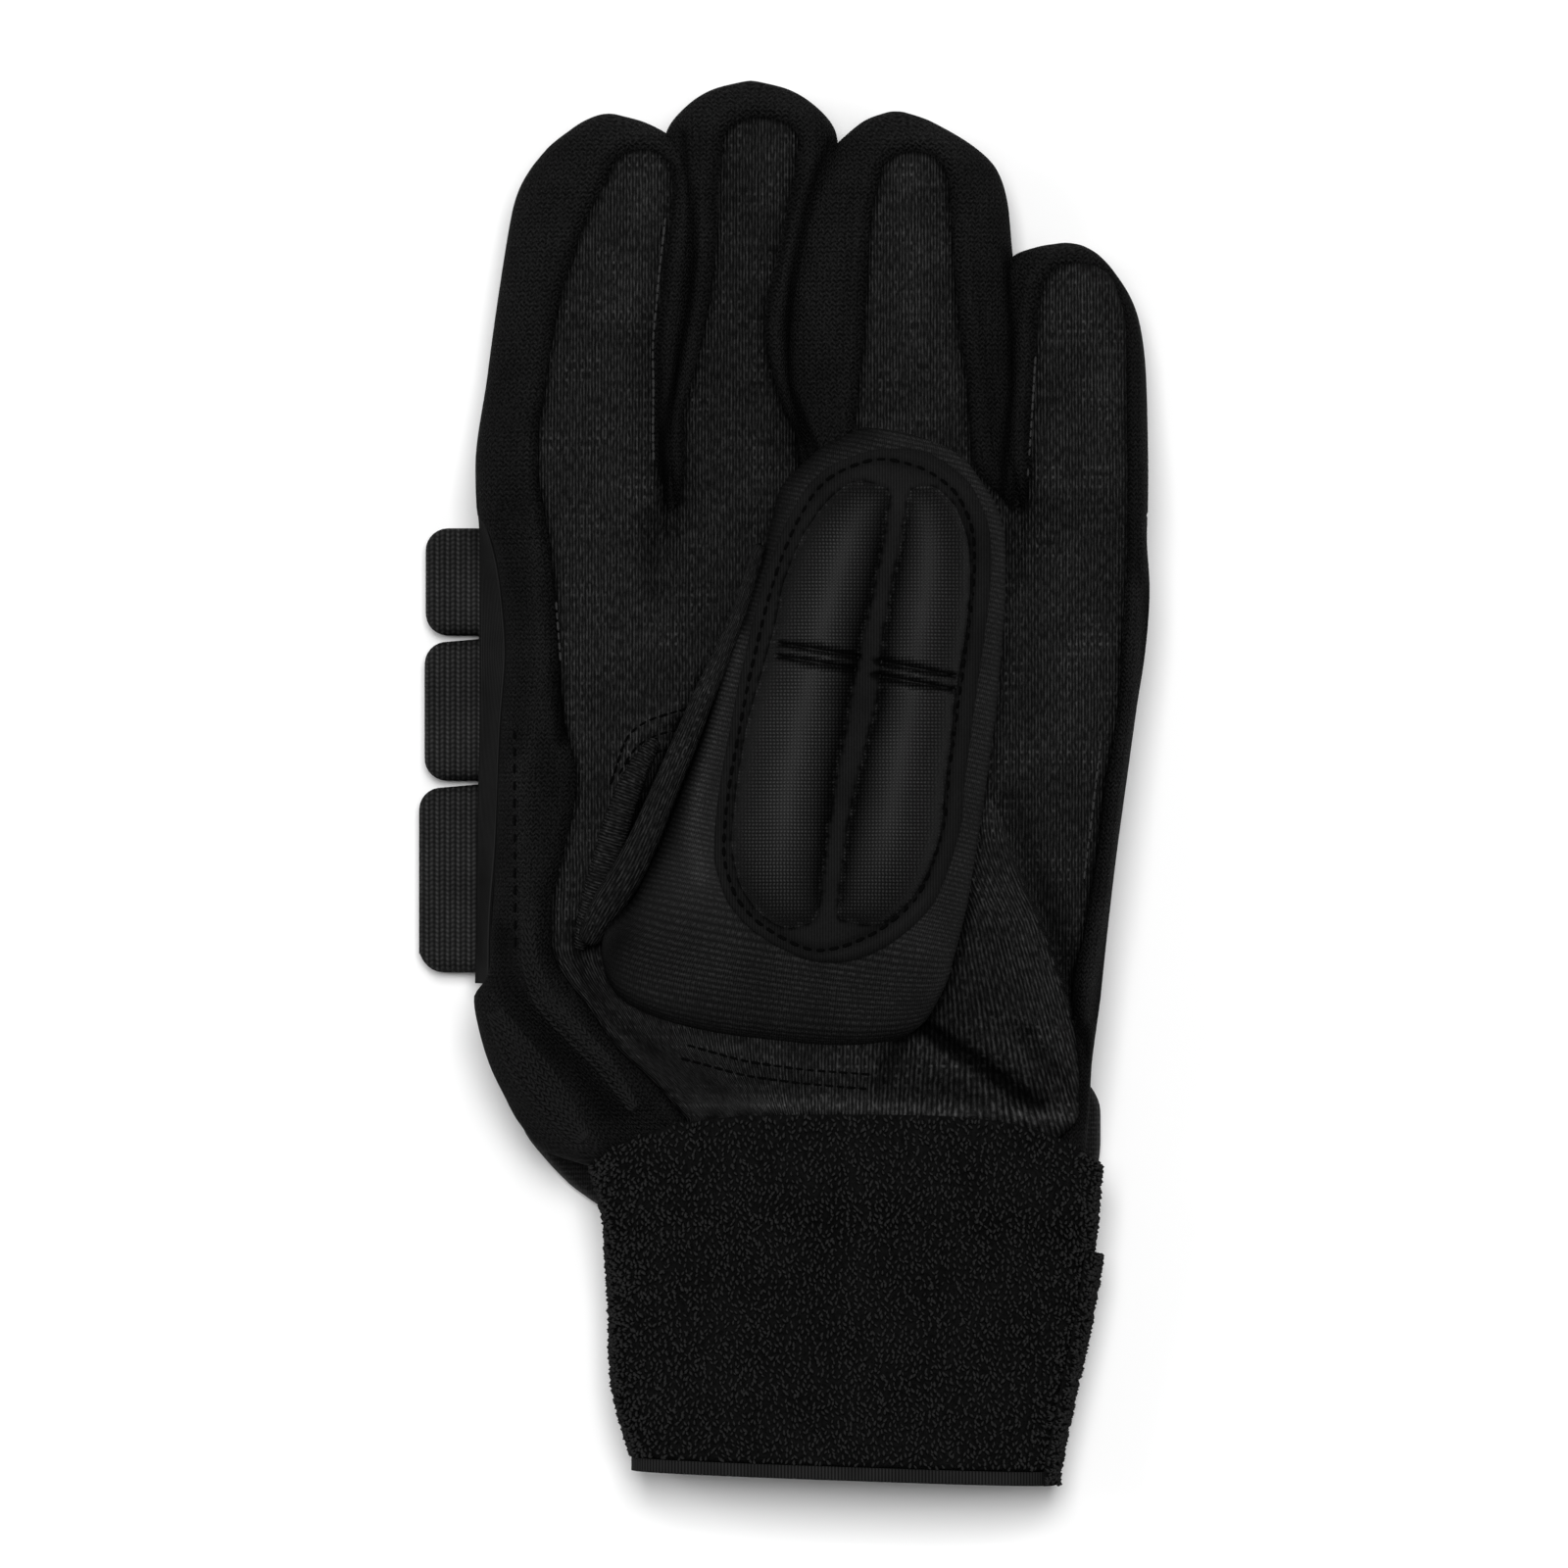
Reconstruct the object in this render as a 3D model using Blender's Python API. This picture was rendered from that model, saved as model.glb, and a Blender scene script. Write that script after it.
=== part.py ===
"""Field hockey glove for the left hand, lying on its back with the thumb folded over the palm.

Metres, +Z up. The fingers point to +Y, the palm faces +Z, and the back guard lies on Z = 0.
Every length in a table is a share of a named size. Shares across the hand run from -1 at the
thumb side to 1 at the little finger's side.
"""

import math

import bmesh
import bpy
import numpy as np
from mathutils import Vector
from mathutils.bvhtree import BVHTree
from mathutils.geometry import delaunay_2d_cdt

MM = 0.001

# Walls and clearances
SEAM_GAP = 0.3 * MM
KNIT_WALL = 2.0 * MM
PALM_WALL = 1.5 * MM
THUMB_WALL = 1.8 * MM
CUFF_WALL = 3.0 * MM

# Where the middle of the glove is, seen from the wrist line that the tables start at
MIDDLE_UP = 61.35 * MM

# Hand, from the wrist line to the roots of the fingers
PALM_LENGTH = 110 * MM
PALM_WIDTH = 120 * MM
PALM_DEPTH = 24 * MM
KNUCKLE_DIP = 0.34
KNUCKLE_DIP_WIDTH = 6 * MM
KNUCKLE_DIP_START = 0.82

# Fingers: length from the root line, widest width, and where their roots' middles are
FINGERS = {
    "index": {"length": 71.4 * MM, "width": 34.3 * MM, "root": -37.6 * MM},
    "middle": {"length": 77.3 * MM, "width": 27.6 * MM, "root": -6.6 * MM},
    "ring": {"length": 71.8 * MM, "width": 39.4 * MM, "root": 24.3 * MM},
    "little": {"length": 48.3 * MM, "width": 24.7 * MM, "root": 53.5 * MM},
}
FINGER_DEPTH = 22.5 * MM
FINGER_FLOOR = 0.5 * MM
FINGER_DROP = 30 * MM
FINGER_OVERLAP = 4 * MM

# Thumb, which comes up through the palm and folds over it
THUMB_REACH = 101 * MM
THUMB_WIDTH = 64 * MM
THUMB_DEPTH = 18.5 * MM
THUMB_HEIGHT = 39.3 * MM
THUMB_LEAN = 23.5 * MM
THUMB_BASE_UP = 23 * MM
THUMB_BASE_SIDE = -3 * MM
THUMB_PRESS = 1.0 * MM
SLIMMEST = 0.45 * MM

# Thumb pad: a stitched flange with four raised cells
PAD_LENGTH = 90.5 * MM
PAD_WIDTH = 49.9 * MM
PAD_SIDE = 11.9 * MM
PAD_UP = 75.2 * MM
FLANGE_THICKNESS = 1.6 * MM
FLANGE_REACH = 2.6 * MM
CELL_HEIGHT = 4.4 * MM
CELL_EDGE = 2.6 * MM
PAD_CLEARANCE = 0.25 * MM

# Back guard with three lobes past the index finger's side, and its hem
GUARD_THICKNESS = 8 * MM
GUARD_EDGE = 2.5 * MM
GUARD_LIFT = 1.6 * MM
GUARD_LEFT = -54.8 * MM
GUARD_RIGHT = 50 * MM
LOBE_REACH = 10 * MM
LOBE_CORNER = 4 * MM
HEM_THICKNESS = 1.4 * MM
HEM_RISE = 8 * MM
FOAM_RIM = 0.55

# Wrist guard, under the heel of the hand
WRIST_GUARD_THICKNESS = 5 * MM
WRIST_GUARD_LENGTH = 24 * MM
WRIST_GUARD_WIDTH = 105 * MM
WRIST_GUARD_SIDE = 4.6 * MM
WRIST_GUARD_UP = -4.5 * MM

# Cuff, with a smooth hem and the end of its strap
CUFF_LENGTH = 53.6 * MM
CUFF_WIDTH = 90 * MM
CUFF_DEPTH = 24 * MM
CUFF_SIDE = 12.5 * MM
CUFF_TOP = -7 * MM
CUFF_ARCH = 9.3 * MM
CUFF_FLOOR = 5.5 * MM
CUFF_SKEW = 3.1 * MM
CUFF_HEM_WIDTH = 2.4 * MM
CUFF_HEM_WALL = 2.2 * MM
CUFF_HEM_INSET = 0.2 * MM
STRAP_THICKNESS = 2 * MM
STRAP_START = 0.29

# Stations of the hand: share of PALM_LENGTH, left and right edges as shares of half PALM_WIDTH,
# and the palm's height as a share of PALM_DEPTH
HAND_SECTIONS = [
    (-0.073, -0.540, 0.890, 0.62),
    (-0.045, -0.700, 0.900, 0.66),
    (0.000, -0.785, 0.908, 0.72),
    (0.051, -0.837, 0.914, 0.84),
    (0.099, -0.878, 0.918, 0.93),
    (0.164, -0.913, 0.933, 0.98),
    (0.208, -0.925, 0.944, 1.00),
    (0.245, -0.884, 0.951, 1.00),
    (0.302, -0.875, 0.962, 1.00),
    (0.434, -0.860, 0.990, 1.00),
    (0.562, -0.852, 1.022, 1.00),
    (0.684, -0.840, 1.053, 0.98),
    (0.773, -0.828, 1.078, 0.96),
    (0.875, -0.844, 1.091, 0.93),
    (0.959, -0.875, 1.083, 0.91),
    (1.000, -0.913, 1.085, 0.90),
]

# Stations of each finger: share of its length, sideways shift and width as shares of its widest
# width's half, and depth as a share of FINGER_DEPTH
FINGER_SECTIONS = {
    "index": [
        (0.000, 0.000, 1.000, 0.96),
        (0.174, -0.031, 1.000, 1.00),
        (0.380, 0.056, 0.974, 1.00),
        (0.551, 0.179, 0.995, 1.00),
        (0.740, 0.291, 0.974, 0.98),
        (0.814, 0.337, 0.939, 0.95),
        (0.868, 0.388, 0.867, 0.90),
        (0.917, 0.429, 0.735, 0.81),
        (0.956, 0.429, 0.531, 0.65),
        (0.983, 0.403, 0.332, 0.44),
        (1.000, 0.357, 0.110, 0.20),
    ],
    "middle": [
        (0.000, 0.000, 0.937, 0.96),
        (0.176, -0.101, 0.886, 1.00),
        (0.244, -0.177, 0.797, 1.00),
        (0.396, -0.177, 0.671, 1.00),
        (0.566, -0.051, 0.633, 1.00),
        (0.808, 0.127, 0.772, 0.96),
        (0.857, 0.114, 0.886, 0.93),
        (0.896, 0.089, 1.000, 0.88),
        (0.930, 0.082, 0.905, 0.77),
        (0.964, 0.038, 0.633, 0.58),
        (0.986, 0.044, 0.348, 0.38),
        (1.000, 0.044, 0.120, 0.18),
    ],
    "ring": [
        (0.000, 0.000, 0.871, 0.96),
        (0.193, -0.098, 0.889, 1.00),
        (0.361, -0.164, 1.000, 1.00),
        (0.485, -0.173, 1.000, 1.00),
        (0.702, -0.156, 0.920, 0.99),
        (0.802, -0.133, 0.853, 0.95),
        (0.871, -0.124, 0.747, 0.88),
        (0.929, -0.147, 0.573, 0.74),
        (0.978, -0.200, 0.324, 0.46),
        (1.000, -0.213, 0.100, 0.20),
    ],
    "little": [
        (0.000, 0.000, 0.936, 0.94),
        (0.257, -0.050, 1.000, 0.98),
        (0.536, -0.021, 0.957, 0.97),
        (0.703, -0.064, 0.929, 0.94),
        (0.812, -0.156, 0.879, 0.88),
        (0.906, -0.291, 0.759, 0.76),
        (0.960, -0.362, 0.617, 0.58),
        (0.989, -0.298, 0.355, 0.36),
        (1.000, -0.241, 0.140, 0.20),
    ],
}

# Palm panel's seams on the hand: share of PALM_LENGTH, then left and right as shares of half
# PALM_WIDTH
PALM_SEAMS = [
    (0.013, -0.289, 0.845),
    (0.078, -0.394, 0.845),
    (0.130, -0.496, 0.845),
    (0.200, -0.586, 0.850),
    (0.240, -0.645, 0.859),
    (0.293, -0.691, 0.885),
    (0.345, -0.691, 0.901),
    (0.477, -0.642, 0.939),
    (0.562, -0.615, 0.956),
    (0.663, -0.653, 0.995),
    (0.764, -0.668, 1.007),
    (0.875, -0.682, 1.021),
    (0.970, -0.704, 1.022),
]

# Palm panel's tongue on each finger: share of the finger's length, then left and right seams as
# shares of its local half width; the round tip starts at the last row
TONGUE_SEAMS = {
    "index": [
        (0.10, -0.36, 0.93),
        (0.30, -0.32, 0.90),
        (0.47, -0.32, 0.80),
        (0.62, -0.26, 0.75),
        (0.74, -0.15, 0.75),
        (0.84, 0.01, 0.75),
    ],
    "middle": [
        (0.09, -0.85, 0.81),
        (0.21, -0.81, 0.82),
        (0.32, -0.71, 0.70),
        (0.45, -0.59, 0.64),
        (0.61, -0.64, 0.75),
        (0.75, -0.72, 0.71),
        (0.85, -0.53, 0.67),
    ],
    "ring": [
        (0.10, -0.73, 0.63),
        (0.27, -0.47, 0.61),
        (0.42, -0.34, 0.55),
        (0.59, -0.32, 0.50),
        (0.73, -0.32, 0.48),
        (0.83, -0.29, 0.46),
    ],
    "little": [
        (0.15, -0.76, 0.69),
        (0.33, -0.75, 0.68),
        (0.55, -0.73, 0.69),
        (0.73, -0.65, 0.74),
        (0.82, -0.50, 0.75),
    ],
}
TONGUE_TIP = 5 * MM
WEB_REACH = 1.5 * MM

# Palm panel's end in the cuff, narrower than its last row of seams, and its cutter's top
PALM_TUCK = 0.5 * MM
PALM_END_LEFT = 3 * MM
PALM_END_RIGHT = 8 * MM
CUTTER_TOP = 60 * MM

# Folds and dents of the palm panel: start and end as shares of half PALM_WIDTH and PALM_LENGTH,
# width as a share of PALM_WIDTH, and height as a share of PALM_DEPTH, below zero for a dent
PALM_FOLDS = [
    (-0.34, 0.60, -0.56, 0.36, 0.035, -0.170),
    (0.62, 0.42, 0.79, 0.10, 0.055, 0.100),
    (0.34, 0.16, 0.66, 0.05, 0.024, -0.100),
    (0.40, 0.09, 0.80, 0.02, 0.020, -0.060),
]
FOLD_FADE = 7 * MM

# Thumb's stations: share of THUMB_REACH forwards, share of THUMB_LEAN, height as a share of
# THUMB_HEIGHT, width share, depth share, and how far its sides turn, in degrees
THUMB_SECTIONS = [
    (0.000, 0.000, 0.630, 0.84, 0.84, 7),
    (0.000, 0.000, 0.690, 0.85, 0.84, 7),
    (0.003, 0.000, 0.760, 0.87, 0.84, 7),
    (0.030, 0.010, 0.890, 0.93, 0.86, 8),
    (0.110, 0.050, 0.992, 1.00, 0.94, 10),
    (0.180, 0.140, 1.003, 0.99, 1.00, 12),
    (0.270, 0.280, 1.003, 0.95, 1.00, 14),
    (0.446, 0.464, 1.000, 0.90, 1.00, 14),
    (0.594, 0.655, 0.998, 0.82, 0.98, 14),
    (0.772, 0.843, 0.994, 0.72, 0.94, 13),
    (0.881, 0.936, 0.990, 0.63, 0.86, 12),
    (0.946, 0.979, 0.985, 0.47, 0.66, 12),
    (0.985, 1.000, 0.980, 0.30, 0.38, 12),
    (1.000, 1.000, 0.978, 0.12, 0.16, 12),
]
THUMB_SEAMS = (math.radians(143), math.radians(-28))
SEAM_TURN = 0.17 * MM

# Thumb pad's outline, along its stitches: up from its middle as a share of PAD_LENGTH, then left
# and right as shares of half PAD_WIDTH
PAD_SEAM = [
    (-0.469, -0.246, -0.028),
    (-0.446, -0.442, 0.168),
    (-0.411, -0.646, 0.344),
    (-0.368, -0.779, 0.491),
    (-0.299, -0.856, 0.589),
    (-0.225, -0.842, 0.667),
    (-0.150, -0.807, 0.681),
    (0.038, -0.681, 0.772),
    (0.187, -0.554, 0.849),
    (0.276, -0.456, 0.877),
    (0.345, -0.351, 0.863),
    (0.413, -0.211, 0.758),
    (0.444, -0.070, 0.625),
    (0.469, 0.189, 0.470),
]
PAD_CELLS = {
    "upper left": [
        (0.127, -0.463, 0.084),
        (0.156, -0.484, 0.119),
        (0.233, -0.435, 0.182),
        (0.320, -0.309, 0.246),
        (0.388, -0.140, 0.281),
        (0.426, 0.028, 0.302),
    ],
    "upper right": [
        (0.094, 0.225, 0.744),
        (0.136, 0.204, 0.786),
        (0.233, 0.267, 0.821),
        (0.320, 0.330, 0.807),
        (0.388, 0.372, 0.716),
        (0.426, 0.393, 0.575),
    ],
    "lower left": [
        (-0.425, -0.456, -0.225),
        (-0.396, -0.618, -0.211),
        (-0.347, -0.744, -0.189),
        (-0.270, -0.800, -0.154),
        (-0.154, -0.758, -0.098),
        (-0.038, -0.688, -0.014),
        (0.040, -0.604, 0.028),
        (0.082, -0.519, -0.014),
    ],
    "lower right": [
        (-0.425, -0.126, 0.196),
        (-0.386, -0.112, 0.379),
        (-0.328, -0.091, 0.519),
        (-0.250, -0.056, 0.610),
        (-0.154, 0.014, 0.640),
        (-0.076, 0.084, 0.681),
        (0.011, 0.168, 0.702),
        (0.051, 0.225, 0.646),
    ],
}

# Lobes of the back guard: bottom and top as shares of PALM_LENGTH, and reach share
LOBES = [
    (0.239, 0.551, 1.10),
    (0.562, 0.790, 1.00),
    (0.800, 0.976, 0.98),
]
LOBE_SLOT_END = 0.6 * MM

# Guard's hem: share of PALM_LENGTH, then its outer edge as a share of LOBE_REACH from the
# guard's left edge
HEM_SECTIONS = [
    (0.232, -0.120),
    (0.272, -0.080),
    (0.353, -0.050),
    (0.434, -0.030),
    (0.562, -0.030),
    (0.643, -0.010),
    (0.724, 0.000),
    (0.821, 0.000),
    (0.902, -0.010),
    (0.959, -0.030),
    (0.985, -0.080),
]

# Wrist guard's outline: shares of half its width and half its length, anticlockwise
WRIST_GUARD_OUTLINE = [
    (-0.62, -1.00),
    (0.85, -0.85),
    (0.98, -0.62),
    (1.00, 0.00),
    (1.00, 0.68),
    (0.96, 1.00),
    (-0.84, 1.00),
    (-0.98, 0.70),
    (-0.99, 0.32),
    (-0.96, 0.11),
    (-0.89, -0.25),
    (-0.82, -0.56),
    (-0.71, -0.90),
]

# Cuff's stations: share of CUFF_LENGTH down from its top, left and right as shares of half
# CUFF_WIDTH, floor as a share of CUFF_FLOOR, and top as a share of CUFF_DEPTH
CUFF_SECTIONS = [
    (0.00, -1.056, 0.987, 1.00, 1.00),
    (0.18, -0.998, 0.968, 1.00, 0.99),
    (0.29, -0.989, 0.955, 0.62, 0.97),
    (0.54, -0.973, 0.905, 0.50, 0.94),
    (0.67, -0.970, 0.870, 0.50, 0.93),
    (0.80, -0.954, 0.835, 0.50, 0.92),
    (1.00, -0.889, 0.785, 0.50, 0.90),
]
STRAP_ARC = (math.radians(20), math.radians(-150))

# How round each section is: 2 is an ellipse, and more is squarer, above and below its middle
HAND_ROUND = (2.5, 3.4)
FINGER_ROUND = (2.3, 2.6)
THUMB_ROUND = (2.4, 2.7)
CUFF_ROUND = (2.8, 3.2)

# Faces
HAND_FACETS = 36
FINGER_FACETS = 18
THUMB_FACETS = 26
THUMB_RINGS = 18
THUMB_BACK_FACETS = 11
THUMB_FRONT_FACETS = 13
CUFF_FACETS = 30
STRAP_FACETS = 18
STRAP_RINGS = 6
TIP_STEPS = 5
CORNER_STEPS = 4
SHEET_SPACING = 6.8 * MM
PAD_SPACING = 5 * MM
GUARD_SPACING = 12 * MM


def clear_scene():
    for item in list(bpy.data.objects):
        bpy.data.objects.remove(item)


def fabric(name, colour, roughness):
    """A cloth or foam material: no metal, and a colour in linear light."""
    material = bpy.data.materials.new(name)
    material.use_nodes = True
    shader = material.node_tree.nodes["Principled BSDF"]
    shader.inputs["Base Color"].default_value = (*colour, 1)
    shader.inputs["Roughness"].default_value = roughness
    shader.inputs["Metallic"].default_value = 0
    return material


def smooth_rows(rows, share):
    """The table's other columns at a share of its first, on a smooth curve through the rows."""
    at = np.array([row[0] for row in rows])
    values = np.array([row[1:] for row in rows])
    i = int(np.clip(np.searchsorted(at, share) - 1, 0, len(at) - 2))
    slopes = np.diff(values, axis=0) / np.diff(at)[:, None]
    before = slopes[max(i - 1, 0)]
    after = slopes[min(i + 1, len(slopes) - 1)]
    start = np.where(before * slopes[i] > 0, (before + slopes[i]) / 2, 0)
    end = np.where(slopes[i] * after > 0, (slopes[i] + after) / 2, 0)
    step = at[i + 1] - at[i]
    t = np.clip((share - at[i]) / step, 0, 1)
    return (
        (2 * t**3 - 3 * t**2 + 1) * values[i]
        + (t**3 - 2 * t**2 + t) * step * start
        + (3 * t**2 - 2 * t**3) * values[i + 1]
        + (t**3 - t**2) * step * end
    )


def rounded(value, power):
    return math.copysign(abs(value) ** power, value)


def oval(left, right, bottom, top, squareness, count):
    """Points of a section in X and Z, from the right edge over the top. A section may be squarer below."""
    half_width = (right - left) / 2
    half_height = (top - bottom) / 2
    points = []
    for i in range(count):
        angle = 2 * math.pi * i / count
        n = squareness[0] if math.sin(angle) >= 0 else squareness[1]
        x = (left + right) / 2 + half_width * rounded(math.cos(angle), 2 / n)
        z = (bottom + top) / 2 + half_height * rounded(math.sin(angle), 2 / n)
        points.append((x, z))
    return points


def new_object(name, mesh_or_bmesh, material=None):
    mesh = mesh_or_bmesh
    if isinstance(mesh_or_bmesh, bmesh.types.BMesh):
        mesh = bpy.data.meshes.new(name)
        mesh_or_bmesh.to_mesh(mesh)
        mesh_or_bmesh.free()
    item = bpy.data.objects.new(name, mesh)
    bpy.context.scene.collection.objects.link(item)
    if material:
        mesh.materials.append(material)
    return item


def skin(shape, rings, flip):
    """Faces between neighbouring rings of points, and the rings' vertices."""
    made = [[shape.verts.new(point) for point in ring] for ring in rings]
    count = len(made[0])
    for lower, upper in zip(made, made[1:]):
        for i in range(count):
            j = (i + 1) % count
            face = [lower[i], lower[j], upper[j], upper[i]]
            shape.faces.new(face[::-1] if flip else face)
    return made


def rim(shape, outer, inner, flip):
    count = len(outer)
    for i in range(count):
        j = (i + 1) % count
        face = [outer[i], inner[i], inner[j], outer[j]]
        shape.faces.new(face[::-1] if flip else face)


def tube(name, outer, inner, material, closed_tip):
    """A hollow wall between two lofts of rings. Its far end is open, or closed by the last rings."""
    shape = bmesh.new()
    outside = skin(shape, outer, False)
    inside = skin(shape, inner, True)
    rim(shape, outside[0], inside[0], False)
    if closed_tip:
        shape.faces.new(outside[-1])
        shape.faces.new(inside[-1][::-1])
    else:
        rim(shape, outside[-1], inside[-1], True)
    bmesh.ops.recalc_face_normals(shape, faces=shape.faces)
    return new_object(name, shape, material)


def solid_loft(name, rings):
    """A closed loft, used as a cutter or as a form to measure."""
    shape = bmesh.new()
    made = skin(shape, rings, False)
    shape.faces.new(made[0][::-1])
    shape.faces.new(made[-1])
    bmesh.ops.recalc_face_normals(shape, faces=shape.faces)
    item = new_object(name, shape)
    item.hide_render = True
    item.display_type = "WIRE"
    return item


def inside_outline(x, y, outline):
    crossings = 0
    for (x0, y0), (x1, y1) in zip(outline, outline[1:] + outline[:1]):
        if (y0 > y) != (y1 > y) and x < x0 + (y - y0) / (y1 - y0) * (x1 - x0):
            crossings += 1
    return crossings % 2 == 1


def distance_to_outline(x, y, outline):
    point = np.array((x, y))
    start = np.array(outline)
    along = np.roll(start, -1, axis=0) - start
    share = np.clip(((point - start) * along).sum(1) / (along**2).sum(1), 0, 1)
    return np.linalg.norm(start + along * share[:, None] - point, axis=1).min()


def even_outline(outline, spacing):
    """The outline's points with long sides divided."""
    points = []
    for (x0, y0), (x1, y1) in zip(outline, outline[1:] + outline[:1]):
        steps = max(1, round(math.hypot(x1 - x0, y1 - y0) / spacing))
        points += [(x0 + (x1 - x0) * i / steps, y0 + (y1 - y0) * i / steps) for i in range(steps)]
    return points


def grown(outline, margin):
    """The outline, which runs anticlockwise, moved outwards."""
    moved = []
    for i, (x, y) in enumerate(outline):
        x0, y0 = outline[i - 1]
        x1, y1 = outline[(i + 1) % len(outline)]
        length = math.hypot(x1 - x0, y1 - y0)
        moved.append((x + margin * (y1 - y0) / length, y - margin * (x1 - x0) / length))
    return moved


def sheet(name, outline, top, bottom, spacing, material=None, loops=()):
    """A closed sheet over an outline, between two heights that are functions of X and Y.

    Loops are closed lines inside the outline that its faces follow.
    """
    edge = even_outline(outline, spacing)
    points = list(edge)
    lines = []
    for loop in loops:
        first = len(points)
        points += loop
        count = len(loop)
        lines += [(first + i, first + (i + 1) % count) for i in range(count)]
    fixed = np.array(points)
    xs = [point[0] for point in edge]
    ys = [point[1] for point in edge]
    for row in range(int((max(ys) - min(ys)) / spacing) + 1):
        for column in range(int((max(xs) - min(xs)) / spacing) + 1):
            x = min(xs) + (column + 0.5 * (row % 2)) * spacing
            y = min(ys) + row * spacing
            clear = np.hypot(fixed[:, 0] - x, fixed[:, 1] - y).min() > spacing * 0.55
            near = distance_to_outline(x, y, edge) > spacing / 2
            if clear and near and inside_outline(x, y, edge):
                points.append((x, y))
    flat = [Vector(point) for point in points]
    inside_only = 1
    border = [list(range(len(edge)))]
    found = delaunay_2d_cdt(flat, lines, border, inside_only, 1e-9, False)
    corners, faces = found[0], found[2]
    shape = bmesh.new()
    upper = [shape.verts.new((*point, top(*point))) for point in corners]
    lower = [shape.verts.new((*point, bottom(*point))) for point in corners]
    for face in faces:
        middle = sum((corners[i] for i in face), Vector((0, 0))) / len(face)
        if not inside_outline(*middle, edge):
            continue
        shape.faces.new([upper[i] for i in face])
        shape.faces.new([lower[i] for i in reversed(face)])
    partner = dict(zip(upper, lower))
    open_edges = [e for e in shape.edges if e.is_boundary and e.verts[0] in partner]
    for open_edge in open_edges:
        a, b = open_edge.verts
        shape.faces.new((a, b, partner[b], partner[a]))
    bmesh.ops.recalc_face_normals(shape, faces=shape.faces)
    return new_object(name, shape, material)


def cut(item, cutter, operation="DIFFERENCE"):
    modifier = item.modifiers.new("cut", "BOOLEAN")
    modifier.operation = operation
    modifier.solver = "EXACT"
    modifier.object = cutter


def helper(item):
    item.hide_render = True
    item.display_type = "WIRE"
    return item


def tree_of(item):
    """A tree of the object's evaluated faces, to read heights from."""
    graph = bpy.context.evaluated_depsgraph_get()
    return BVHTree.FromObject(item, graph)


def height_over(trees, x, y, missing):
    """The highest point of the trees above X and Y."""
    sky = 1.0
    found = [tree.ray_cast(Vector((x, y, sky)), Vector((0, 0, -1)))[0] for tree in trees]
    heights = [point.z for point in found if point is not None]
    return max(heights) if heights else missing


def step_up(value):
    value = min(max(value, 0.0), 1.0)
    return value * value * (3 - 2 * value)


def floor_height(y):
    """The underside of the hand and the fingers: the hand lies on the guard, the fingers droop."""
    drop = step_up((y - PALM_LENGTH) / FINGER_DROP)
    high = GUARD_THICKNESS + SEAM_GAP
    return high + (FINGER_FLOOR - high) * drop


def middle_height(y):
    """Half way up the hand or a finger."""
    if y > PALM_LENGTH:
        return floor_height(y) + FINGER_DEPTH / 2
    top = smooth_rows(HAND_SECTIONS, y / PALM_LENGTH)[2]
    return floor_height(y) + PALM_DEPTH * top / 2


def finger_x(name, share, across):
    """X at a share of a finger's length and of its local half width."""
    finger = FINGERS[name]
    shift, width, _ = smooth_rows(FINGER_SECTIONS[name], share)
    return finger["root"] + finger["width"] / 2 * (shift + width * across)


def finger_rings(name, wall, below=0.0):
    """Rings of a finger from its root to its tip, moved inwards by a wall."""
    finger = FINGERS[name]
    start = PALM_LENGTH + SEAM_GAP - below
    rings = []
    for row in FINGER_SECTIONS[name]:
        share, _, width, depth = row
        centre = finger_x(name, share, 0)
        half_width = max(finger["width"] / 2 * width - wall, SLIMMEST)
        half_depth = max(FINGER_DEPTH / 2 * depth - wall, SLIMMEST)
        y = start + (PALM_LENGTH + finger["length"] - wall - start) * share
        middle = middle_height(y)
        points = oval(
            centre - half_width,
            centre + half_width,
            middle - half_depth,
            middle + half_depth,
            FINGER_ROUND,
            FINGER_FACETS,
        )
        rings.append([(x, y, z) for x, z in points])
    return rings


def crotches():
    """X of the three slits between the fingers' roots."""
    names = list(FINGERS)
    pairs = zip(names, names[1:])
    return [(finger_x(a, 0, 1) + finger_x(b, 0, -1)) / 2 for a, b in pairs]


def knuckle_dip(x, y):
    """How far the hand's top sinks between the fingers' roots, as a share of its half height."""
    near = step_up((y / PALM_LENGTH - KNUCKLE_DIP_START) / (1 - KNUCKLE_DIP_START))
    return KNUCKLE_DIP * near * sum(math.exp(-(((x - c) / KNUCKLE_DIP_WIDTH) ** 2)) for c in crotches())


def hand_rings(wall):
    """Rings of the hand from the cuff to the roots of the fingers."""
    rings = []
    for share, left, right, top in HAND_SECTIONS:
        y = PALM_LENGTH * share
        floor = floor_height(y)
        points = oval(
            PALM_WIDTH / 2 * left + wall,
            PALM_WIDTH / 2 * right - wall,
            floor + wall,
            floor + PALM_DEPTH * top - wall,
            HAND_ROUND,
            HAND_FACETS,
        )
        middle = floor + PALM_DEPTH * top / 2
        ring = []
        for x, z in points:
            rise = max(z - middle, 0)
            ring.append((x, y, z - rise * knuckle_dip(x, y)))
        rings.append(ring)
    return rings


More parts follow.
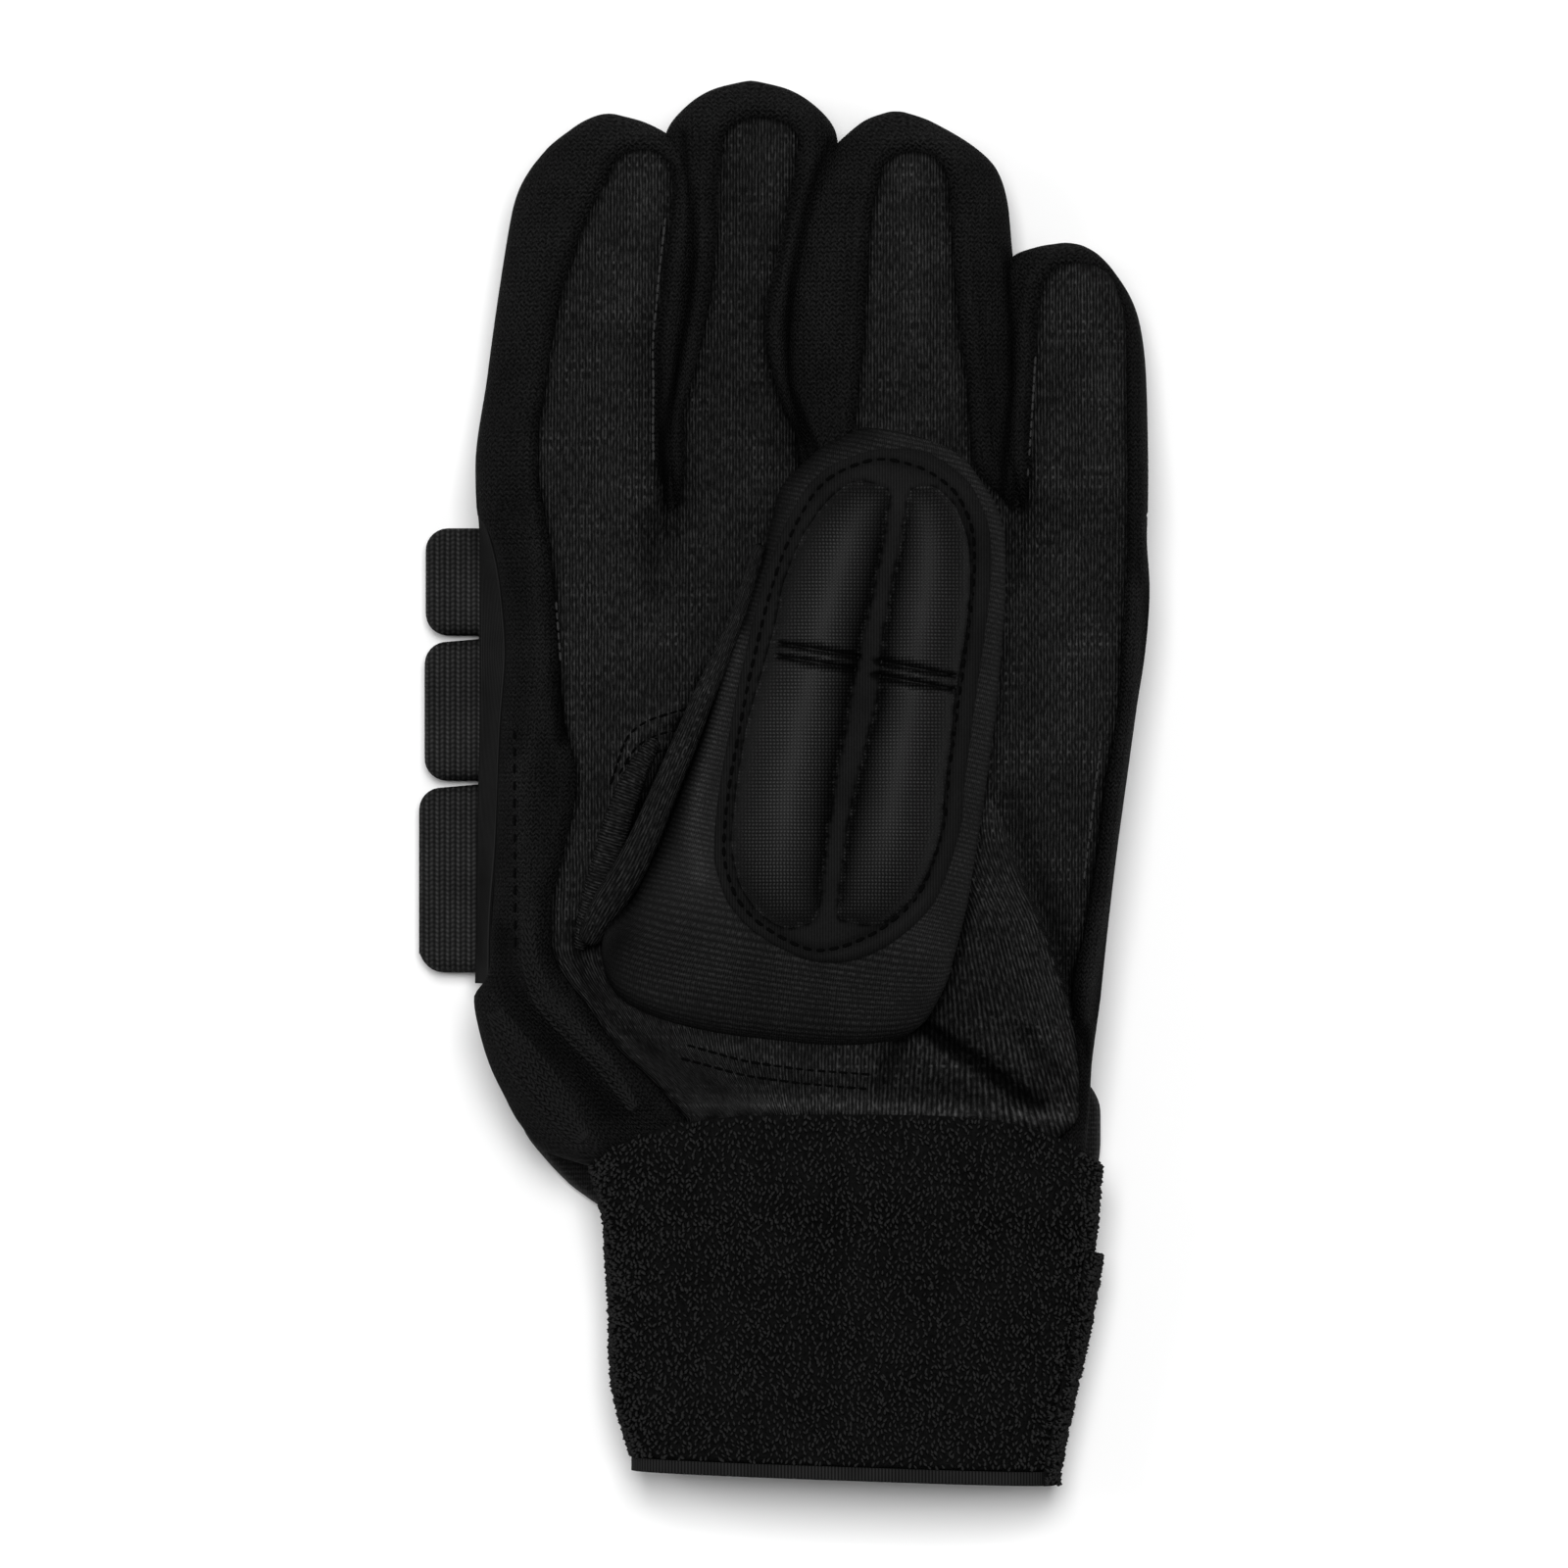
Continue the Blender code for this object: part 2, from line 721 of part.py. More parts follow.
def cuff_ring(down, wall):
    """A ring of the cuff at a share of its length, inside its outer face by a wall."""
    left, right, floor, top = smooth_rows(CUFF_SECTIONS, down)
    points = oval(
        CUFF_SIDE + CUFF_WIDTH / 2 * left + wall,
        CUFF_SIDE + CUFF_WIDTH / 2 * right - wall,
        CUFF_FLOOR * floor + wall,
        CUFF_FLOOR * floor + CUFF_DEPTH * top - wall,
        CUFF_ROUND,
        CUFF_FACETS,
    )
    ring = []
    for i, (x, z) in enumerate(points):
        front = max(0.0, math.sin(2 * math.pi * i / CUFF_FACETS))
        rise = CUFF_ARCH * front**0.7 * max(1 - down, 0) ** 3
        skew = CUFF_SKEW * down * (x - CUFF_SIDE) / CUFF_WIDTH
        ring.append((x, CUFF_TOP - CUFF_LENGTH * down + rise - skew, z))
    return ring


def tongue_outline(name):
    """A finger's tongue from its little finger side, over a round tip, down its thumb side."""
    rows = TONGUE_SEAMS[name]
    length = FINGERS[name]["length"]
    right = [(finger_x(name, s, r), PALM_LENGTH + length * s) for s, _, r in rows]
    left = [(finger_x(name, s, l), PALM_LENGTH + length * s) for s, l, _ in rows]
    middle = (left[-1][0] + right[-1][0]) / 2
    half = (right[-1][0] - left[-1][0]) / 2
    turns = [math.pi * i / TIP_STEPS for i in range(1, TIP_STEPS)]
    top = right[-1][1]
    tip = [(middle + half * math.cos(a), top + TONGUE_TIP * math.sin(a)) for a in turns]
    return right + tip + left[::-1]


def palm_outline():
    """The palm panel's outline, anticlockwise from the wrist's thumb side."""
    half = PALM_WIDTH / 2
    below = CUFF_TOP - PALM_TUCK
    right = [(half * row[2], PALM_LENGTH * row[0]) for row in PALM_SEAMS]
    left = [(half * row[1], PALM_LENGTH * row[0]) for row in PALM_SEAMS]
    outline = [(left[0][0] + PALM_END_LEFT, below), (right[0][0] - PALM_END_RIGHT, below), *right]
    slits = crotches()[::-1] + [None]
    for name, slit in zip(list(FINGERS)[::-1], slits):
        outline += tongue_outline(name)
        if slit is not None:
            outline.append((slit, PALM_LENGTH + WEB_REACH))
    return outline + left[::-1]


def fold_height(x, y, outline):
    """How far the palm panel's folds lift it at a point. They fade out at its seams."""
    total = 0.0
    for x0, y0, x1, y1, width, height in PALM_FOLDS:
        start = np.array((x0 * PALM_WIDTH / 2, y0 * PALM_LENGTH))
        along = np.array((x1 * PALM_WIDTH / 2, y1 * PALM_LENGTH)) - start
        share = np.clip(np.dot(np.array((x, y)) - start, along) / np.dot(along, along), 0, 1)
        away = np.linalg.norm(start + along * share - np.array((x, y)))
        total += PALM_DEPTH * height * math.exp(-((away / (width * PALM_WIDTH)) ** 2))
    return total * step_up(distance_to_outline(x, y, outline) / FOLD_FADE)


def thumb_path(share):
    """The thumb's middle line, width, depth and turn at a share of its stations."""
    last = len(THUMB_SECTIONS) - 1
    rows = [(i / last, *row) for i, row in enumerate(THUMB_SECTIONS)]
    forward, lean, lift, width, depth, turn = smooth_rows(rows, share)
    centre = Vector(
        (
            THUMB_BASE_SIDE + THUMB_LEAN * lean,
            THUMB_BASE_UP + THUMB_REACH * forward,
            THUMB_HEIGHT * lift,
        )
    )
    return centre, THUMB_WIDTH / 2 * width, THUMB_DEPTH / 2 * depth, math.radians(turn)


def thumb_frame(share):
    """Centre, side, up, half width and half depth of the thumb at a share of its stations."""
    centre, half_width, half_depth, turn = thumb_path(share)
    step = 0.02
    ahead = thumb_path(min(share + step, 1))[0] - thumb_path(max(share - step, 0))[0]
    side = Vector((math.cos(turn), -math.sin(turn), 0))
    ahead = (ahead - side * ahead.dot(side)).normalized()
    return centre, side, side.cross(ahead), half_width, half_depth


def thumb_shares():
    return [i / (THUMB_RINGS - 1) for i in range(THUMB_RINGS)]


def thumb_ring(share, grow):
    """A whole ring of the thumb, moved outwards by a length."""
    centre, side, up, half_width, half_depth = thumb_frame(share)
    half_width = max(half_width + grow, SLIMMEST)
    half_depth = max(half_depth + grow, SLIMMEST)
    points = oval(-half_width, half_width, -half_depth, half_depth, THUMB_ROUND, THUMB_FACETS)
    return [centre + side * x + up * z for x, z in points]


def thumb_arc(share, start, finish, wall, count):
    """A piece of the thumb's ring between two angles: out along its face, back along its lining."""
    centre, side, up, half_width, half_depth = thumb_frame(share)
    turn = SEAM_TURN / (half_width * 0.8)
    section = []
    for inset in (0, wall):
        inner_width = half_width - min(inset, half_width * 0.7)
        inner_depth = half_depth - min(inset, half_depth * 0.7)
        row = []
        for i in range(count + 1):
            angle = start + turn + (finish - start - 2 * turn) * i / count
            n = THUMB_ROUND[0] if math.sin(angle) >= 0 else THUMB_ROUND[1]
            x = inner_width * rounded(math.cos(angle), 2 / n)
            z = inner_depth * rounded(math.sin(angle), 2 / n)
            row.append(centre + side * x + up * z)
        section += row if inset == 0 else row[::-1]
    return section


def strip(name, sections, material):
    """A closed loft of whole sections."""
    shape = bmesh.new()
    made = skin(shape, sections, False)
    shape.faces.new(made[0][::-1])
    shape.faces.new(made[-1])
    bmesh.ops.recalc_face_normals(shape, faces=shape.faces)
    return new_object(name, shape, material)


def outline_of_rows(rows, reach=0.0):
    """The pad's outline from its rows, anticlockwise, moved outwards by a reach."""
    right = [(PAD_SIDE + PAD_WIDTH / 2 * r, PAD_UP + PAD_LENGTH * up) for up, _, r in rows]
    left = [(PAD_SIDE + PAD_WIDTH / 2 * l, PAD_UP + PAD_LENGTH * up) for up, l, _ in rows]
    return grown(right + left[::-1], reach)


def cell_height(x, y, cells):
    """The raised part of the thumb pad at a point."""
    for cell in cells:
        if inside_outline(x, y, cell):
            edge = distance_to_outline(x, y, cell) / CELL_EDGE
            return CELL_HEIGHT * math.sin(math.pi / 2 * min(edge, 1))
    return 0.0


def guard_outline():
    """The back guard's outline, anticlockwise from its lower right corner."""
    low = LOBES[0][0] * PALM_LENGTH
    high = LOBES[-1][1] * PALM_LENGTH
    corner = LOBE_CORNER
    outline = [
        (GUARD_RIGHT - corner, low),
        (GUARD_RIGHT, low + corner),
        (GUARD_RIGHT, high - corner),
        (GUARD_RIGHT - corner, high),
    ]
    for bottom, top, reach in reversed(LOBES):
        left = GUARD_LEFT - LOBE_REACH * reach
        y0 = bottom * PALM_LENGTH
        y1 = top * PALM_LENGTH
        for start in (math.pi / 2, math.pi):
            y = y1 - corner if start < math.pi else y0 + corner
            turns = [start + math.pi / 2 * i / CORNER_STEPS for i in range(CORNER_STEPS + 1)]
            outline += [(left + corner * (1 + math.cos(a)), y + corner * math.sin(a)) for a in turns]
        if bottom > LOBES[0][0]:
            outline.append((GUARD_LEFT, y0))
            outline.append((GUARD_LEFT, y0 - LOBE_SLOT_END))
    return outline


def wrist_guard_outline():
    half_width = WRIST_GUARD_WIDTH / 2
    half_length = WRIST_GUARD_LENGTH / 2
    middle = (WRIST_GUARD_SIDE, WRIST_GUARD_UP)
    return [(middle[0] + half_width * x, middle[1] + half_length * y) for x, y in WRIST_GUARD_OUTLINE]


def pillow(name, outline, thickness, edge, lift, spacing, material):
    """A foam pad with a flat base, a rounded top edge and a small chamfer below."""

    def top(x, y):
        share = min(distance_to_outline(x, y, outline) / edge, 1)
        return thickness * (FOAM_RIM + (1 - FOAM_RIM) * math.sin(math.pi / 2 * share))

    def bottom(x, y):
        return lift * (1 - min(distance_to_outline(x, y, outline) / edge, 1))

    inner = grown(outline, -edge)
    inner = [p for p in inner if distance_to_outline(*p, outline) > edge * 0.9]
    return sheet(name, outline, top, bottom, spacing, material, [inner])


def hem_sections():
    """Sections of the guard's hem: a thin strip that leans on the hand's side."""
    sections = []
    for share, outer in HEM_SECTIONS:
        y = PALM_LENGTH * share
        low = GUARD_THICKNESS + SEAM_GAP
        x1 = PALM_WIDTH / 2 * smooth_rows(HAND_SECTIONS, share)[0] - 2 * SEAM_GAP
        x0 = min(GUARD_LEFT + LOBE_REACH * outer, x1 - HEM_THICKNESS)
        top = low + HEM_RISE
        sections.append(
            [
                (x0, y, low),
                (x0 + HEM_THICKNESS, y, low),
                (x1, y, top - HEM_THICKNESS),
                (x1, y, top),
                (x1 - HEM_THICKNESS, y, top),
                (x0, y, low + HEM_THICKNESS),
            ]
        )
    return sections


def strap_sections():
    """Sections of the strap's end, which lies around the cuff's outer face."""
    start, finish = STRAP_ARC
    sections = []
    last = 1 + (CUFF_HEM_WIDTH + SEAM_GAP) / CUFF_LENGTH
    for k in range(STRAP_RINGS):
        down = STRAP_START + (last - STRAP_START) * k / (STRAP_RINGS - 1)
        rows = []
        for out in (SEAM_GAP, SEAM_GAP + STRAP_THICKNESS):
            row = []
            for i in range(STRAP_FACETS + 1):
                angle = start + (finish - start) * i / STRAP_FACETS
                row.append(cuff_point(min(down, 1), angle, out, down))
            rows.append(row)
        sections.append(rows[1] + rows[0][::-1])
    return sections


def cuff_point(station, angle, out, down):
    """A point around the cuff at an angle, outside its outer face."""
    left, right, floor, top = smooth_rows(CUFF_SECTIONS, station)
    half_width = CUFF_WIDTH / 4 * (right - left) + out
    half_height = CUFF_DEPTH * top / 2 + out
    n = CUFF_ROUND[0] if math.sin(angle) >= 0 else CUFF_ROUND[1]
    x = CUFF_SIDE + CUFF_WIDTH / 4 * (left + right) + half_width * rounded(math.cos(angle), 2 / n)
    z = CUFF_FLOOR * floor + CUFF_DEPTH * top / 2 + half_height * rounded(math.sin(angle), 2 / n)
    skew = CUFF_SKEW * down * (x - CUFF_SIDE) / CUFF_WIDTH
    return (x, CUFF_TOP - CUFF_LENGTH * down - skew, z)


def build():
    clear_scene()
    knit = fabric("Jersey knit", (0.006, 0.006, 0.007), 0.9)
    palm_cloth = fabric("Ribbed palm fabric", (0.012, 0.012, 0.013), 0.8)
    woven = fabric("Ribbed stretch weave", (0.010, 0.010, 0.011), 0.75)
    pad_cloth = fabric("Moulded pad fabric", (0.016, 0.016, 0.017), 0.65)
    guard_knit = fabric("Knit faced foam", (0.018, 0.018, 0.019), 0.85)
    terry = fabric("Terry loop", (0.004, 0.004, 0.0045), 0.95)
    binding = fabric("Binding tape", (0.014, 0.014, 0.015), 0.8)

    outline = palm_outline()
    cutters = []

    # Closed forms that the palm's height is read from
    forms = [helper(solid_loft("hand form", hand_rings(0)))]
    for name in FINGERS:
        forms.append(helper(solid_loft(name + " form", finger_rings(name, 0, FINGER_OVERLAP))))
    thumb_form = helper(solid_loft("thumb form", [thumb_ring(s, SEAM_GAP) for s in thumb_shares()]))
    cuff_shares = [row[0] for row in CUFF_SECTIONS]
    mouth = [cuff_ring(0, wall) for wall in (CUFF_WALL + SEAM_GAP, -SEAM_GAP)]
    mouth = [[(x, y + SEAM_GAP, z) for x, y, z in ring] for ring in mouth]
    cuff_rings = [cuff_ring(d, -SEAM_GAP) for d in cuff_shares]
    cuff_form = helper(solid_loft("cuff form", mouth + cuff_rings))
    cutters += forms + [thumb_form, cuff_form]
    form_trees = [tree_of(form) for form in forms]
    thumb_tree = tree_of(thumb_form)
    bend = THUMB_BASE_UP + THUMB_REACH * THUMB_SECTIONS[4][0]

    def palm_top(x, y):
        lowest = middle_height(y) + PALM_WALL + SEAM_GAP
        height = max(height_over(form_trees, x, y, lowest), lowest)
        height += fold_height(x, y, outline)
        if y > bend:
            under = thumb_tree.ray_cast(Vector((x, y, 0)), Vector((0, 0, 1)))[0]
            if under is not None:
                height = min(height, under.z - THUMB_PRESS)
        return height

    # Palm panel, with the hole that the thumb comes up through
    palm = sheet(
        "palm_panel",
        outline,
        palm_top,
        lambda x, y: palm_top(x, y) - PALM_WALL,
        SHEET_SPACING,
        palm_cloth,
    )
    cut(palm, thumb_form)
    cut(palm, cuff_form)
    panel_cutter = helper(
        sheet(
            "panel cutter",
            grown(outline, SEAM_GAP),
            lambda x, y: CUTTER_TOP,
            lambda x, y: middle_height(y),
            SHEET_SPACING * 3,
        )
    )
    cutters.append(panel_cutter)

    # Knitted back, sides and fingertips
    hand = tube("hand_knit", hand_rings(0), hand_rings(KNIT_WALL), knit, False)
    cut(hand, panel_cutter)
    cut(hand, cuff_form)
    for name in FINGERS:
        tip = tube(
            "finger_knit_" + name,
            finger_rings(name, 0),
            finger_rings(name, KNIT_WALL),
            knit,
            True,
        )
        cut(tip, panel_cutter)

    # Thumb: woven back, and palm fabric on its other side and around its edge
    shares = thumb_shares()
    start, finish = THUMB_SEAMS
    back = [thumb_arc(s, finish, start, THUMB_WALL, THUMB_BACK_FACETS) for s in shares]
    front = [thumb_arc(s, start, finish + 2 * math.pi, THUMB_WALL, THUMB_FRONT_FACETS) for s in shares]
    strip("thumb_back", back, woven)
    strip("thumb_front", front, palm_cloth)

    # Thumb pad
    cells = [outline_of_rows(rows) for rows in PAD_CELLS.values()]
    tops = [grown(cell, -CELL_EDGE) for cell in cells]
    thumb_trees = [thumb_tree]

    def pad_base(x, y):
        return height_over(thumb_trees, x, y, THUMB_HEIGHT) + PAD_CLEARANCE

    sheet(
        "thumb_pad",
        outline_of_rows(PAD_SEAM, FLANGE_REACH),
        lambda x, y: pad_base(x, y) + FLANGE_THICKNESS + cell_height(x, y, cells),
        pad_base,
        PAD_SPACING,
        pad_cloth,
        cells + tops,
    )

    # Guards and hem
    pillow(
        "back_guard",
        guard_outline(),
        GUARD_THICKNESS,
        GUARD_EDGE,
        GUARD_LIFT,
        GUARD_SPACING,
        guard_knit,
    )
    pillow(
        "wrist_guard",
        wrist_guard_outline(),
        WRIST_GUARD_THICKNESS,
        GUARD_EDGE,
        GUARD_LIFT,
        GUARD_SPACING,
        woven,
    )
    strip("guard_hem", hem_sections(), binding)

    # Cuff
    tube(
        "cuff_band",
        [cuff_ring(d, 0) for d in cuff_shares],
        [cuff_ring(d, CUFF_WALL) for d in cuff_shares],
        terry,
        False,
    )
    hem_shares = [1 + (SEAM_GAP + CUFF_HEM_WIDTH * i) / CUFF_LENGTH for i in (0, 1)]
    tube(
        "cuff_hem",
        [cuff_ring(d, CUFF_HEM_INSET) for d in hem_shares],
        [cuff_ring(d, CUFF_HEM_INSET + CUFF_HEM_WALL) for d in hem_shares],
        binding,
        False,
    )
    strip("cuff_strap", strap_sections(), terry)

    finish_objects(cutters)


def finish_objects(cutters):
    """Apply the cuts, drop the cutters, and put the glove's middle over the origin."""
    graph = bpy.context.evaluated_depsgraph_get()
    kept = [item for item in bpy.data.objects if item not in cutters]
    made = {}
    for item in kept:
        made[item.name] = bpy.data.meshes.new_from_object(item.evaluated_get(graph))
    for item in kept:
        item.modifiers.clear()
        item.data = made[item.name]
        for vertex in item.data.vertices:
            vertex.co.y -= MIDDLE_UP
    for cutter in cutters:
        bpy.data.objects.remove(cutter)


build()
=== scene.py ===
# %% [markdown]
# # A field hockey glove for the left hand
#
# The glove lies on its back with the palm up and the thumb folded over the palm. It is nearly
# black all over, so what tells its parts apart is how each cloth is made: a ribbed palm cloth, a
# jersey knit around the back and the sides, a ribbed stretch weave on the thumb, a moulded pad,
# foam lobes faced with a chain knit, and a wristband of terry loops.
#
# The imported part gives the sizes. Each cell below makes one real piece of the glove over it.

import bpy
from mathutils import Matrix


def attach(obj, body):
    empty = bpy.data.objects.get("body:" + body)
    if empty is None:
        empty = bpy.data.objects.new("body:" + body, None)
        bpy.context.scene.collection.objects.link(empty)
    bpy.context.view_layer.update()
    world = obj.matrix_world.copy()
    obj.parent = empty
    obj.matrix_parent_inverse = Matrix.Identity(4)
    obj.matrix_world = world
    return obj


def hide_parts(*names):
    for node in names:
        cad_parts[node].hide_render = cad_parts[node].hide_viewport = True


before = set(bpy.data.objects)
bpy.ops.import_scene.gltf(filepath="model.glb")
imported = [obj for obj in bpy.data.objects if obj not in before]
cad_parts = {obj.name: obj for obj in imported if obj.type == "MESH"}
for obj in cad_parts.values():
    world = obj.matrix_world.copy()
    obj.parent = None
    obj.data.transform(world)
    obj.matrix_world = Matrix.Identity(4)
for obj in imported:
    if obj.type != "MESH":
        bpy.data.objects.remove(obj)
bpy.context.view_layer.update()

import math

import bmesh
import bpy
import numpy as np
from mathutils import Vector
from mathutils.bvhtree import BVHTree
from mathutils.geometry import delaunay_2d_cdt

print("CAD nodes:", len(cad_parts))

# %% [markdown]
# ## How lengths are given
#
# Lengths are millimetres until a mesh is made. The tables start at the wrist line, where Y is 0,
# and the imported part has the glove's middle at Y = 0, so every mesh is moved down by the same
# length. X runs from the thumb's side to the little finger's side, and Z up out of the palm.

# %% Curves through tables, and sections
MM = 0.001
# from the wrist line up to the glove's middle
MIDDLE_UP = 61.35
COARSE = 1


def smooth(rows, at):
    """The table's other columns where its first column is `at`, on a smooth curve."""
    rows = np.asarray(rows, float)
    knots, values = rows[:, 0], rows[:, 1:]
    slopes = np.diff(values, axis=0) / np.diff(knots)[:, None]
    before = np.vstack([slopes[:1], slopes])
    after = np.vstack([slopes, slopes[-1:]])
    tangents = np.where(before * after > 0, (before + after) / 2, 0)
    at = np.clip(np.ravel(at), knots[0], knots[-1])
    i = np.clip(np.searchsorted(knots, at) - 1, 0, len(knots) - 2)
    step = (knots[i + 1] - knots[i])[:, None]
    t = (at - knots[i])[:, None] / step
    start = (2 * t**3 - 3 * t**2 + 1) * values[i] + (t**3 - 2 * t**2 + t) * step * tangents[i]
    finish = (3 * t**2 - 2 * t**3) * values[i + 1] + (t**3 - t**2) * step * tangents[i + 1]
    return start + finish


def by_row(rows, count):
    """The whole table, filled in evenly from row to row. It rounds a tip that rows close in on."""
    index = np.arange(len(rows), dtype=float)[:, None]
    return smooth(np.hstack([index, np.asarray(rows, float)]), np.linspace(0, len(rows) - 1, count))


def step_up(value):
    """0 below 0, 1 above 1, and an even rise between them."""
    value = np.clip(value, 0, 1)
    return value * value * (3 - 2 * value)


def bell(away, width):
    """1 on a line, falling softly to 0 beside it."""
    return np.exp(-((away / width) ** 2))


def unit(rows):
    """Rows as directions of length 1."""
    return rows / np.linalg.norm(rows, axis=1)[:, None]


def metres(points):
    """Points of the tables, where they are in the scene."""
    return (np.asarray(points, float) - (0, MIDDLE_UP, 0)) * MM


# %% [markdown]
# ## Sections
#
# A finger or a cuff is round above and squarer below. Its section is a superellipse, with points
# at an even spacing, so that a weave isn't stretched over it.

# %% Sections
def section(half_width, half_height, squareness, count, start=-90, sweep=360):
    """Even points along a rounded section, and how far along each is from the middle."""
    angle = np.radians(np.linspace(start, start + sweep, 721))
    n = np.where(np.sin(angle) >= 0, *squareness)
    x = half_width * np.sign(np.cos(angle)) * abs(np.cos(angle)) ** (2 / n)
    z = half_height * np.sign(np.sin(angle)) * abs(np.sin(angle)) ** (2 / n)
    along = np.concatenate([[0], np.cumsum(np.hypot(np.diff(x), np.diff(z)))])
    even = np.linspace(0, along[-1], count)
    return np.interp(even, along, x), np.interp(even, along, z), even - along[-1] / 2


def crown(x, centre, half_width, half_height, n):
    """How high a rounded section reaches above its middle at x. It falls away outside."""
    across = abs(x - centre) / half_width
    high = half_height * (1 - np.clip(across, 0, 1) ** n) ** (1 / n)
    return high - 3 * np.clip(across - 1, 0, None) * half_width


# %% [markdown]
# ## Lines and outlines
#
# Seams, folds and stitch lines are lines seen from above. What happens near one depends on how
# far a point is from it, and on which side.

# %% Distances from lines, and lines with even points
def inside(points, outline):
    """Which points are inside an outline."""
    x, y = np.asarray(points, float).T
    found = np.zeros(len(x), bool)
    for (x0, y0), (x1, y1) in zip(outline, np.roll(outline, -1, 0)):
        if y0 != y1:
            found ^= ((y0 > y) != (y1 > y)) & (x < x0 + (y - y0) / (y1 - y0) * (x1 - x0))
    return found


def from_line(x, y, line, closed=False):
    """Distance of each point from a line, and the signed one, which is above 0 on its left."""
    x, y = np.ravel(x), np.ravel(y)
    line = np.asarray(line, float)
    ends = np.roll(line, -1, 0) if closed else line[1:]
    best = np.full(len(x), 1e9)
    sign = np.ones(len(x))
    for (x0, y0), (x1, y1) in zip(line, ends):
        dx, dy = x1 - x0, y1 - y0
        share = np.clip(((x - x0) * dx + (y - y0) * dy) / (dx * dx + dy * dy + 1e-12), 0, 1)
        away = np.hypot(x - x0 - dx * share, y - y0 - dy * share)
        nearer = away < best
        best = np.where(nearer, away, best)
        sign = np.where(nearer, np.sign(dx * (y - y0) - dy * (x - x0)), sign)
    return best, best * sign


def off(x, y, line, closed=False):
    return from_line(x, y, line, closed)[0]


def along_line(line):
    """How far along a line each of its points is."""
    return np.concatenate([[0], np.cumsum(np.linalg.norm(np.diff(line, axis=0), axis=1))])


def even_line(line, spacing, closed=False, soften=0.0):
    """The line with points at an even spacing. Its corners may be softened, in millimetres."""
    line = np.asarray(line, float)
    if closed:
        line = np.vstack([line, line[:1]])
    along = along_line(line)
    count = max(int(along[-1] / spacing), 4) + 1
    at = np.linspace(0, along[-1], count)
    line = np.stack([np.interp(at, along, column) for column in line.T], 1)
    if closed:
        line = line[:-1]
    for _ in range(int((soften / spacing) ** 2 * 2)):
        mean = (np.roll(line, 1, 0) + np.roll(line, -1, 0)) / 2
        if not closed:
            mean[0], mean[-1] = line[0], line[-1]
        line = (line + mean) / 2
    return line


def grown(outline, margin):
    """An anticlockwise outline moved outwards."""
    along = unit(np.roll(outline, -1, 0) - np.roll(outline, 1, 0))
    return outline + margin * np.stack([along[:, 1], -along[:, 0]], 1)


# %% [markdown]
# ## How meshes are made
#
# Cloth has two faces and a thickness. `shell` closes a wall between two grids of points, for
# tubes and strips, and `sheet` closes one between two heights over an outline. Both give each
# corner its place on the flat cloth, in millimetres, so that a pattern follows the cloth.


# %% Meshes from grids and outlines
def put(name, data):
    """A new object in the scene."""
    item = bpy.data.objects.new(name, data)
    bpy.context.scene.collection.objects.link(item)
    return item


def ride(item):
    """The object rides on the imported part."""
    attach(item, "root")
    print(item.name, "has", len(item.data.polygons), "faces")
    return item


def piece(name, points, faces, cloth, material, replaces=(), dark=None):
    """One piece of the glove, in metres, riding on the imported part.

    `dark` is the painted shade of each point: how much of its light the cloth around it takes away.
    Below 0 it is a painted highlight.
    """
    mesh = bpy.data.meshes.new(name)
    mesh.from_pydata(metres(points).tolist(), [], faces)
    layer = mesh.uv_layers.new(name="cloth")
    layer.data.foreach_set("uv", np.asarray(cloth, np.float32).ravel())
    if dark is not None:
        shade = mesh.attributes.new("dark", "FLOAT", "POINT")
        shade.data.foreach_set("value", np.asarray(dark, np.float32).ravel())
    shape = bmesh.new()
    shape.from_mesh(mesh)
    bmesh.ops.remove_doubles(shape, verts=shape.verts, dist=1e-6)
    bmesh.ops.recalc_face_normals(shape, faces=shape.faces)
    shape.to_mesh(mesh)
    shape.free()
    mesh.shade_smooth()
    mesh.materials.append(material)
    item = ride(put(name, mesh))
    if replaces:
        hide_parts(*replaces)
    return item


# %% [markdown]
# ## Walls between two grids
#
# A tube of cloth, a strip or a roll is a wall between an outer grid and an inner one. It is
# closed at its open ends, and at its sides if it doesn't go all the way around.

